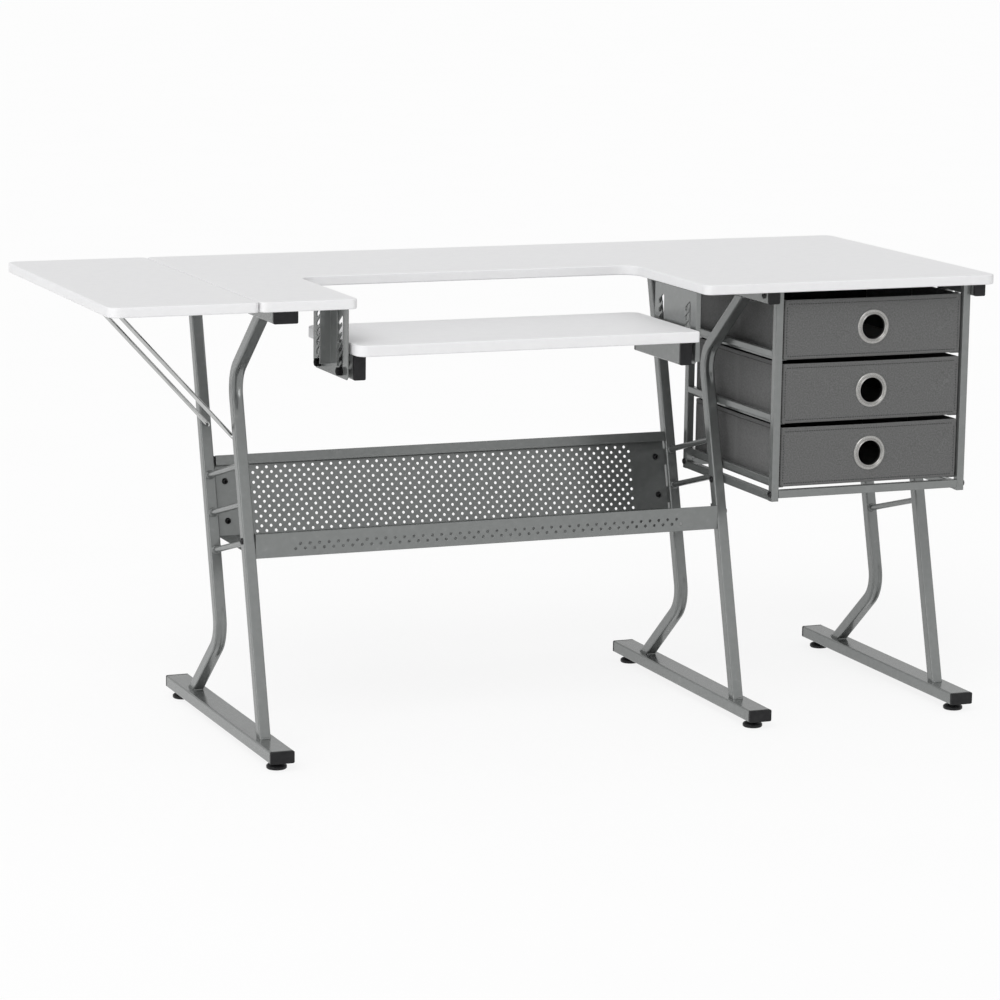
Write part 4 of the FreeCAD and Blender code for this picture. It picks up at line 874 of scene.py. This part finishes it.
class Bin:
    """One fabric drawer: its outline, its slack cloth and its stitches."""

    def __init__(self, number):
        low, high = (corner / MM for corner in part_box(f"drawer_bin_{number}"))
        self.number = number
        self.width, self.depth, self.height = high - low
        self.base = Vector(((low.x + high.x) / 2, (low.y + high.y) / 2, low.z))
        self.middle = self.base + Z_AXIS * self.height / 2
        self.spots = bin_outline(self.width, self.depth)
        self.rows = shell_rows()

    def length(self, side):
        return self.depth if side % 2 else self.width

    def bow(self, side, distance, height):
        """How far a wall bows in: once along the front and the back, beside the fold on the side walls."""
        length = self.length(side)
        up = height / self.height
        if side % 2:
            to_fold = abs(distance - length / 2)
            to_corner = min(distance, length - distance)
            hang = min(1, FOOT_RISE * up) * (1 - TOP_LIFT * up ** 3)
            beside = (1 - math.exp(-to_fold / FOLD_WIDTH)) * (1 - math.exp(-to_corner / CORNER_WIDTH))
            return SIDE_BOW * beside * hang
        most = FRONT_BOW if side == FRONT else BACK_BOW
        return most * math.sin(math.pi * distance / length) * math.sin(math.pi * up)

    def wave(self, side, distance, height):
        """Uneven waves of the cloth, which fade out toward the ends of a wall."""
        along = distance / self.length(side)
        seed = X_AXIS * (side * SIDE_SEED + self.number * DRAWER_SEED)
        place = Vector((distance * WAVE_ALONG, height * WAVE_UP, 0)) + seed
        swell = WAVE_DEPTH * noise.noise(place) + RIPPLE_DEPTH * noise.noise(place * RIPPLES)
        return swell * min(1, WAVE_RISE * along, WAVE_RISE * (1 - along))

    def seams(self, side, distance, height):
        """How far the sewn rows draw the cloth in."""
        from_end = self.length(side) - distance
        rows = groove(height - TOP_STITCH, ROW_WIDTH) + groove(height - BOTTOM_STITCH, ROW_WIDTH)
        hem = groove(height - TOP_STITCH + HEM_DROP, HEM_WIDTH)
        edges = groove(distance - EDGE_STITCH, EDGE_WIDTH) + groove(from_end - EDGE_STITCH, EDGE_WIDTH)
        return ROW_DEPTH * rows + HEM_DEPTH * hem + EDGE_DEPTH * edges

    def crease(self, distance, height):
        """The slanting crease of the front, steep on one flank and gentle on the other."""
        across = self.width - distance
        drop = self.height - height
        aside = (across - CREASE_START[0]) - CREASE_SLOPE * (drop - CREASE_START[1])
        flank = math.exp(aside / CREASE_STEEP if aside < 0 else -aside / CREASE_GENTLE)
        fade = groove(across - CREASE_MIDDLE[0], CREASE_SPREAD[0])
        fade *= groove(drop - CREASE_MIDDLE[1], CREASE_SPREAD[1])
        return CREASE_DEPTH * flank * fade

    def slack(self, side, distance, height):
        """How far the cloth lies inside its tight box."""
        length = self.length(side)
        to_corner = min(distance, length - distance)
        sink = TIGHT_SINK * min(1, TIGHT_LEAST + to_corner / TIGHT_REACH)
        sink += self.bow(side, distance, height)
        sink += self.wave(side, distance, height)
        sink += self.seams(side, distance, height)
        if side == FRONT:
            sink += self.crease(distance, height)
            to_ring = math.hypot(distance - length / 2, height - self.height / 2)
            sink = LEAST_SLACK + (sink - LEAST_SLACK) * eased((to_ring - RING_FLAT) / RING_FADE)
        return min(max(sink, LEAST_SLACK), MOST_SLACK)

    def place(self, spot, inward, height):
        """A point of the cloth at a distance inside the box's outline."""
        centre, out, side, distance = spot
        dip = TOP_DIP * math.sin(math.pi * distance / self.length(side)) * (height / self.height) ** 4
        flat = centre - out * inward
        return self.base + Vector((flat.x, flat.y, height - dip))

    def cloth(self):
        """Points of the shell, row by row."""
        points = []
        for within, inward, height in self.rows:
            fade = min(1, (self.height - height) / TOP_FADE)
            for spot in self.spots:
                sink = self.slack(spot[2], spot[3], height) * fade
                depth = max(inward, sink + LINING_GAP) if within else inward + sink
                points.append(self.place(spot, depth, height))
        return points

    def hole_cells(self, points):
        """The faces of the front that lie in its finger hole, by row and step."""
        count = len(self.spots)
        cells = set()
        for row in range(len(self.rows) - 1):
            for step in range(count):
                if self.spots[step][2] == FRONT:
                    here = row * count + step
                    corners = [points[here + shift] for shift in (0, 1, count, count + 1)]
                    away = sum(corners, Vector()) / len(corners) - self.middle
                    if math.hypot(away.x, away.z) < HOLE:
                        cells.add((row, step))
        return cells

    def hole_rim(self, cells):
        """The edges round the finger hole: the last point of each by its first."""
        count = len(self.spots)
        rim = {}
        for row, step in cells:
            sides = (((row - 1, step), (row, step), (row, step + 1)),
                     ((row + 1, step), (row + 1, step + 1), (row + 1, step)),
                     ((row, step - 1), (row + 1, step), (row, step)),
                     ((row, step + 1), (row, step + 1), (row + 1, step + 1)))
            for beside, first, last in sides:
                if beside not in cells:
                    rim[first[0] * count + first[1]] = last[0] * count + last[1]
        return rim

    def shell(self):
        """Points, faces and finishes of the whole box, with a round hole through its front."""
        count = len(self.spots)
        points = self.cloth()
        hole = self.hole_cells(points)
        rim = self.hole_rim(hole)
        for index in rim:
            away = points[index] - self.middle
            stretch = (HOLE + HOLE_RIM) / math.hypot(away.x, away.z)
            points[index] = self.middle + Vector((away.x * stretch, away.y, away.z * stretch))
        faces = []
        shades = []
        for row in range(len(self.rows) - 1):
            for step in range(count):
                if (row, step) not in hole:
                    here = row * count + step
                    after = row * count + (step + 1) % count
                    faces.append((here, after, after + count, here + count))
                    # Faces inside the shell take the second finish, the lining's painted shade.
                    shades.append(1 if self.rows[row][0] else 0)
        faces.append(tuple(reversed(range(count))))
        faces.append(tuple(range(len(points) - count, len(points))))
        shades += [0, 1]
        lining_row = {height: row for row, (within, inward, height) in enumerate(self.rows) if within}
        for first, last in rim.items():
            row = first // count
            if not self.rows[row][0]:
                behind = []
                for index in (last, first):
                    height = self.rows[index // count][2]
                    behind.append(lining_row[height] * count + index % count)
                faces.append((first, last, *behind))
                shades.append(0)
        return points, faces, shades

    def stitches(self):
        """Threads in the grooves along the top, the foot and the upright edges of each wall."""
        parts = []
        for side, along in enumerate(SIDE_WAYS):
            length = self.length(side)
            out = outward(along)
            level = Vector((along.x, along.y, 0))
            rows = []
            for height in (TOP_STITCH, BOTTOM_STITCH):
                for step in range(int((length - 2 * ROW_MARGIN) / STITCH_PITCH)):
                    rows.append((ROW_MARGIN + STITCH_PITCH * (step + 0.5), height, level))
            for distance in (EDGE_STITCH, length - EDGE_STITCH):
                for step in range(int((TOP_STITCH - BOTTOM_STITCH - EDGE_ROW_MARGIN) / STITCH_PITCH)):
                    height = BOTTOM_STITCH + EDGE_ROW_START + STITCH_PITCH * (step + 0.5)
                    rows.append((distance, height, Z_AXIS))
            for distance, height, way in rows:
                centre = out * self.length(side + 1) / 2 + along * (distance - length / 2)
                sink = self.slack(side, distance, height) - STITCH_SINK
                middle = self.place((centre, out, side, distance), sink, height)
                parts.append(thread(middle, way, Vector((out.x, out.y, 0)), STITCH_LENGTH, STITCH_RADIUS))
        return gather(parts)

    def inner_seams(self):
        """Upright rows of pale thread inside: at the folds of the two side walls and in the back corners."""
        parts = []
        reach = self.width / 2 - WALL + SEAM_LIFT
        corner = reach - SEAM_INSET
        back = self.depth / 2 - WALL - SEAM_INSET
        for x, y in ((-reach, 0), (reach, 0), (-corner, back), (corner, back)):
            for step in range(SEAM_COUNT):
                spot = self.base + Vector((x, y, SEAM_START + step * STITCH_PITCH))
                parts.append(thread(spot, Z_AXIS, X_AXIS if x < 0 else -X_AXIS, SEAM_LENGTH, SEAM_RADIUS))
        return gather(parts)


def make_drawers():
    """Sewn boxes with dark stitches outside and pale seams inside."""
    for number in DRAWERS:
        body = f"drawer_{number}"
        cloth = Bin(number)
        points, faces, shades = cloth.shell()
        # The inside of the shell is the near-black lining, which paints the shade inside the drawer.
        shell = make_piece(f"fabric_drawer_{number}", points, faces, [fabric_grey, lining_painted_shade], body,
                           "grey_fabric", shades=shades)
        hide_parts(f"drawer_bin_{number}")
        make_piece(f"drawer_stitches_{number}", *cloth.stitches(), [thread_dark], body, "grey_fabric")
        make_piece(f"drawer_inner_seams_{number}", *cloth.inner_seams(), [thread_pale], body, "grey_fabric")


# Finger rings

RING_SIDES = 96
# Radius and depth behind the face, from the inner rim out over the flange to its seat and the neck
RING_FACE = ((20.5, 1.2), (20.8, 0.4), (21.4, 0), (22.2, 0.2), (22.7, 0.8), (22.9, 1.4), (23.7, 1.5),
             (24.0, 0.9), (24.5, 0.55), (27.2, 0.7), (28.0, 1.0), (28.5, 1.6), (28.5, 2.2), (22.3, 2.2))
# Radius and height above the back, round the washer and into the bore
RING_BACK = ((22.3, 1.4), (26.4, 1.4), (26.5, 1.1), (26.3, 0.1), (21.2, 0), (20.5, 0.6))


def make_rings():
    """Plated rings: a brushed flange, a rolled inner rim, a neck through the cloth and a washer behind it."""
    for number in DRAWERS:
        low, high = (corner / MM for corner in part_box(f"drawer_grommet_{number}"))
        centre = (low + high) / 2
        half = centre.y - low.y
        rings = [(radius, half - depth) for radius, depth in RING_FACE]
        rings += [(radius, height - half) for radius, height in RING_BACK]
        rings.reverse()
        points, faces = turned(rings, (0, 0, 0), -Y_AXIS, count=RING_SIDES, closed=True)
        ring = make_piece(f"finger_ring_{number}", points, faces, [ring_metal], f"drawer_{number}",
                          "ring_chrome", at=centre)
        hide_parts(f"drawer_grommet_{number}")


make_fasteners()
make_knobs()
make_leg_tubes()
make_welds()
make_drawers()
make_rings()


# Camera, floor and light, with their lengths in metres

CAMERA_AT = (-2.2858, -5.5685, 1.4786)
CAMERA_AZIMUTH = math.radians(-22.33)
CAMERA_ELEVATION = math.radians(10.538)
CAMERA_ROLL = math.radians(0.822)
CAMERA_LENS = 131.3
CAMERA_SENSOR = 36
CAMERA_REACH = 200
FLOOR_REACH = 60
FLOOR_GLOW = 0.85
WHITE = (1, 1, 1, 1)


def aim_camera():
    """A long lens in front of the table, a little to its left and above it."""
    level = Vector((math.cos(CAMERA_AZIMUTH), math.sin(CAMERA_AZIMUTH), 0))
    away = Vector((math.sin(CAMERA_AZIMUTH), -math.cos(CAMERA_AZIMUTH), 0))
    back = away * math.cos(CAMERA_ELEVATION) + Z_AXIS * math.sin(CAMERA_ELEVATION)
    upright = back.cross(level)
    right = level * math.cos(CAMERA_ROLL) + upright * math.sin(CAMERA_ROLL)
    up = upright * math.cos(CAMERA_ROLL) - level * math.sin(CAMERA_ROLL)
    data = bpy.data.cameras.new("camera")
    data.sensor_width = CAMERA_SENSOR
    data.lens = CAMERA_LENS
    data.clip_end = CAMERA_REACH
    camera = bpy.data.objects.new("camera", data)
    turn = Matrix((right, up, back)).transposed().to_4x4()
    camera.matrix_world = Matrix.Translation(CAMERA_AT) @ turn
    scene.collection.objects.link(camera)
    scene.camera = camera


def seen_rays(tree, kinds):
    """1 for the named kinds of ray and 0 for the others."""
    path = tree.nodes.new("ShaderNodeLightPath")
    found = path.outputs[kinds[0]]
    for kind in kinds[1:]:
        found = combined(tree, "MAXIMUM", found, path.outputs[kind])
    return found


def mixed(tree, share, first, second):
    """Two shaders mixed by a share of the second."""
    mix = tree.nodes.new("ShaderNodeMixShader")
    tree.links.new(share, mix.inputs["Fac"])
    tree.links.new(first, mix.inputs[1])
    tree.links.new(second, mix.inputs[2])
    return mix.outputs["Shader"]


def lay_floor():
    """A wide pale floor that keeps the table's soft shadow."""
    mesh = bpy.data.meshes.new("floor")
    corners = [(-FLOOR_REACH, -FLOOR_REACH, 0), (FLOOR_REACH, -FLOOR_REACH, 0),
               (FLOOR_REACH, FLOOR_REACH, 0), (-FLOOR_REACH, FLOOR_REACH, 0)]
    mesh.from_pydata(corners, [], [(0, 1, 2, 3)])
    floor = bpy.data.objects.new("floor", mesh)
    scene.collection.objects.link(floor)
    item, tree, shader = new_material("floor_white")
    mottling = speckle(tree, coordinates(tree), grains=3)
    shade = ramp_between(tree, mottling, dark=(0.9, 0.9, 0.9), light=(0.92, 0.92, 0.92))
    tree.links.new(shade, shader.inputs["Base Color"])
    shader.inputs["Roughness"].default_value = 0.9
    shader.inputs["Specular IOR Level"].default_value = 0.0
    glow = tree.nodes.new("ShaderNodeEmission")
    part = tree.nodes.new("ShaderNodeMapRange")
    part.inputs["To Max"].default_value = FLOOR_GLOW
    shown = seen_rays(tree, ("Is Camera Ray", "Is Glossy Ray", "Is Transmission Ray"))
    tree.links.new(shown, part.inputs["Value"])
    surface = mixed(tree, part.outputs["Result"], shader.outputs["BSDF"], glow.outputs["Emission"])
    tree.links.new(surface, tree.nodes["Material Output"].inputs["Surface"])
    mesh.materials.append(item)


def facing(tree, way, start, end, low, high):
    """A background whose strength goes from low to high between two cosines of the angle to a way."""
    place = tree.nodes.new("ShaderNodeTexCoord")
    toward = tree.nodes.new("ShaderNodeVectorMath")
    toward.operation = "DOT_PRODUCT"
    toward.inputs[1].default_value = Vector(way).normalized()
    tree.links.new(place.outputs["Generated"], toward.inputs[0])
    strength = tree.nodes.new("ShaderNodeMapRange")
    strength.inputs["From Min"].default_value = start
    strength.inputs["From Max"].default_value = end
    strength.inputs["To Min"].default_value = low
    strength.inputs["To Max"].default_value = high
    tree.links.new(toward.outputs["Value"], strength.inputs["Value"])
    room = tree.nodes.new("ShaderNodeBackground")
    room.inputs["Color"].default_value = WHITE
    tree.links.new(strength.outputs["Result"], room.inputs["Strength"])
    return room.outputs["Background"]


def hang_lamp(name, kind, way, at=(0, 0, 0)):
    """A lamp that shines along a direction."""
    lamp = bpy.data.lights.new(name, kind)
    hung = bpy.data.objects.new(name, lamp)
    hung.location = at
    hung.rotation_mode = "QUATERNION"
    hung.rotation_quaternion = Vector(way).to_track_quat("-Z", "Y")
    scene.collection.objects.link(hung)
    return lamp


def light_studio():
    """A room lit from above and the left, mirrored as white in front and a little dimmer behind."""
    world = bpy.data.worlds.new("studio")
    scene.world = world
    world.use_nodes = True
    tree = world.node_tree
    tree.nodes.clear()
    room = facing(tree, (-0.4, -0.2, 0.85), start=-0.7, end=0.9, low=0.33, high=0.76)
    mirrored = facing(tree, (0, 1, 0), start=-0.6, end=0.2, low=1.0, high=0.7)
    white = tree.nodes.new("ShaderNodeBackground")
    white.inputs["Color"].default_value = WHITE
    lit = mixed(tree, seen_rays(tree, ("Is Glossy Ray", "Is Transmission Ray")), room, mirrored)
    shown = mixed(tree, seen_rays(tree, ("Is Camera Ray",)), lit, white.outputs["Background"])
    output = tree.nodes.new("ShaderNodeOutputWorld")
    tree.links.new(shown, output.inputs["Surface"])

    key = hang_lamp("key", "SUN", way=(0.5, 0.62, -0.85))
    key.energy = 1.2
    key.angle = math.radians(35)

    strip_at = Vector((-3.2, -2.0, 0.95))
    strip_target = Vector((0, 0, 0.5))
    strip = hang_lamp("strip", "AREA", way=strip_target - strip_at, at=strip_at)
    strip.shape = "RECTANGLE"
    strip.size = 0.5
    strip.size_y = 1.6
    strip.energy = 12


aim_camera()
lay_floor()
light_studio()
scene.view_settings.view_transform = "Standard"
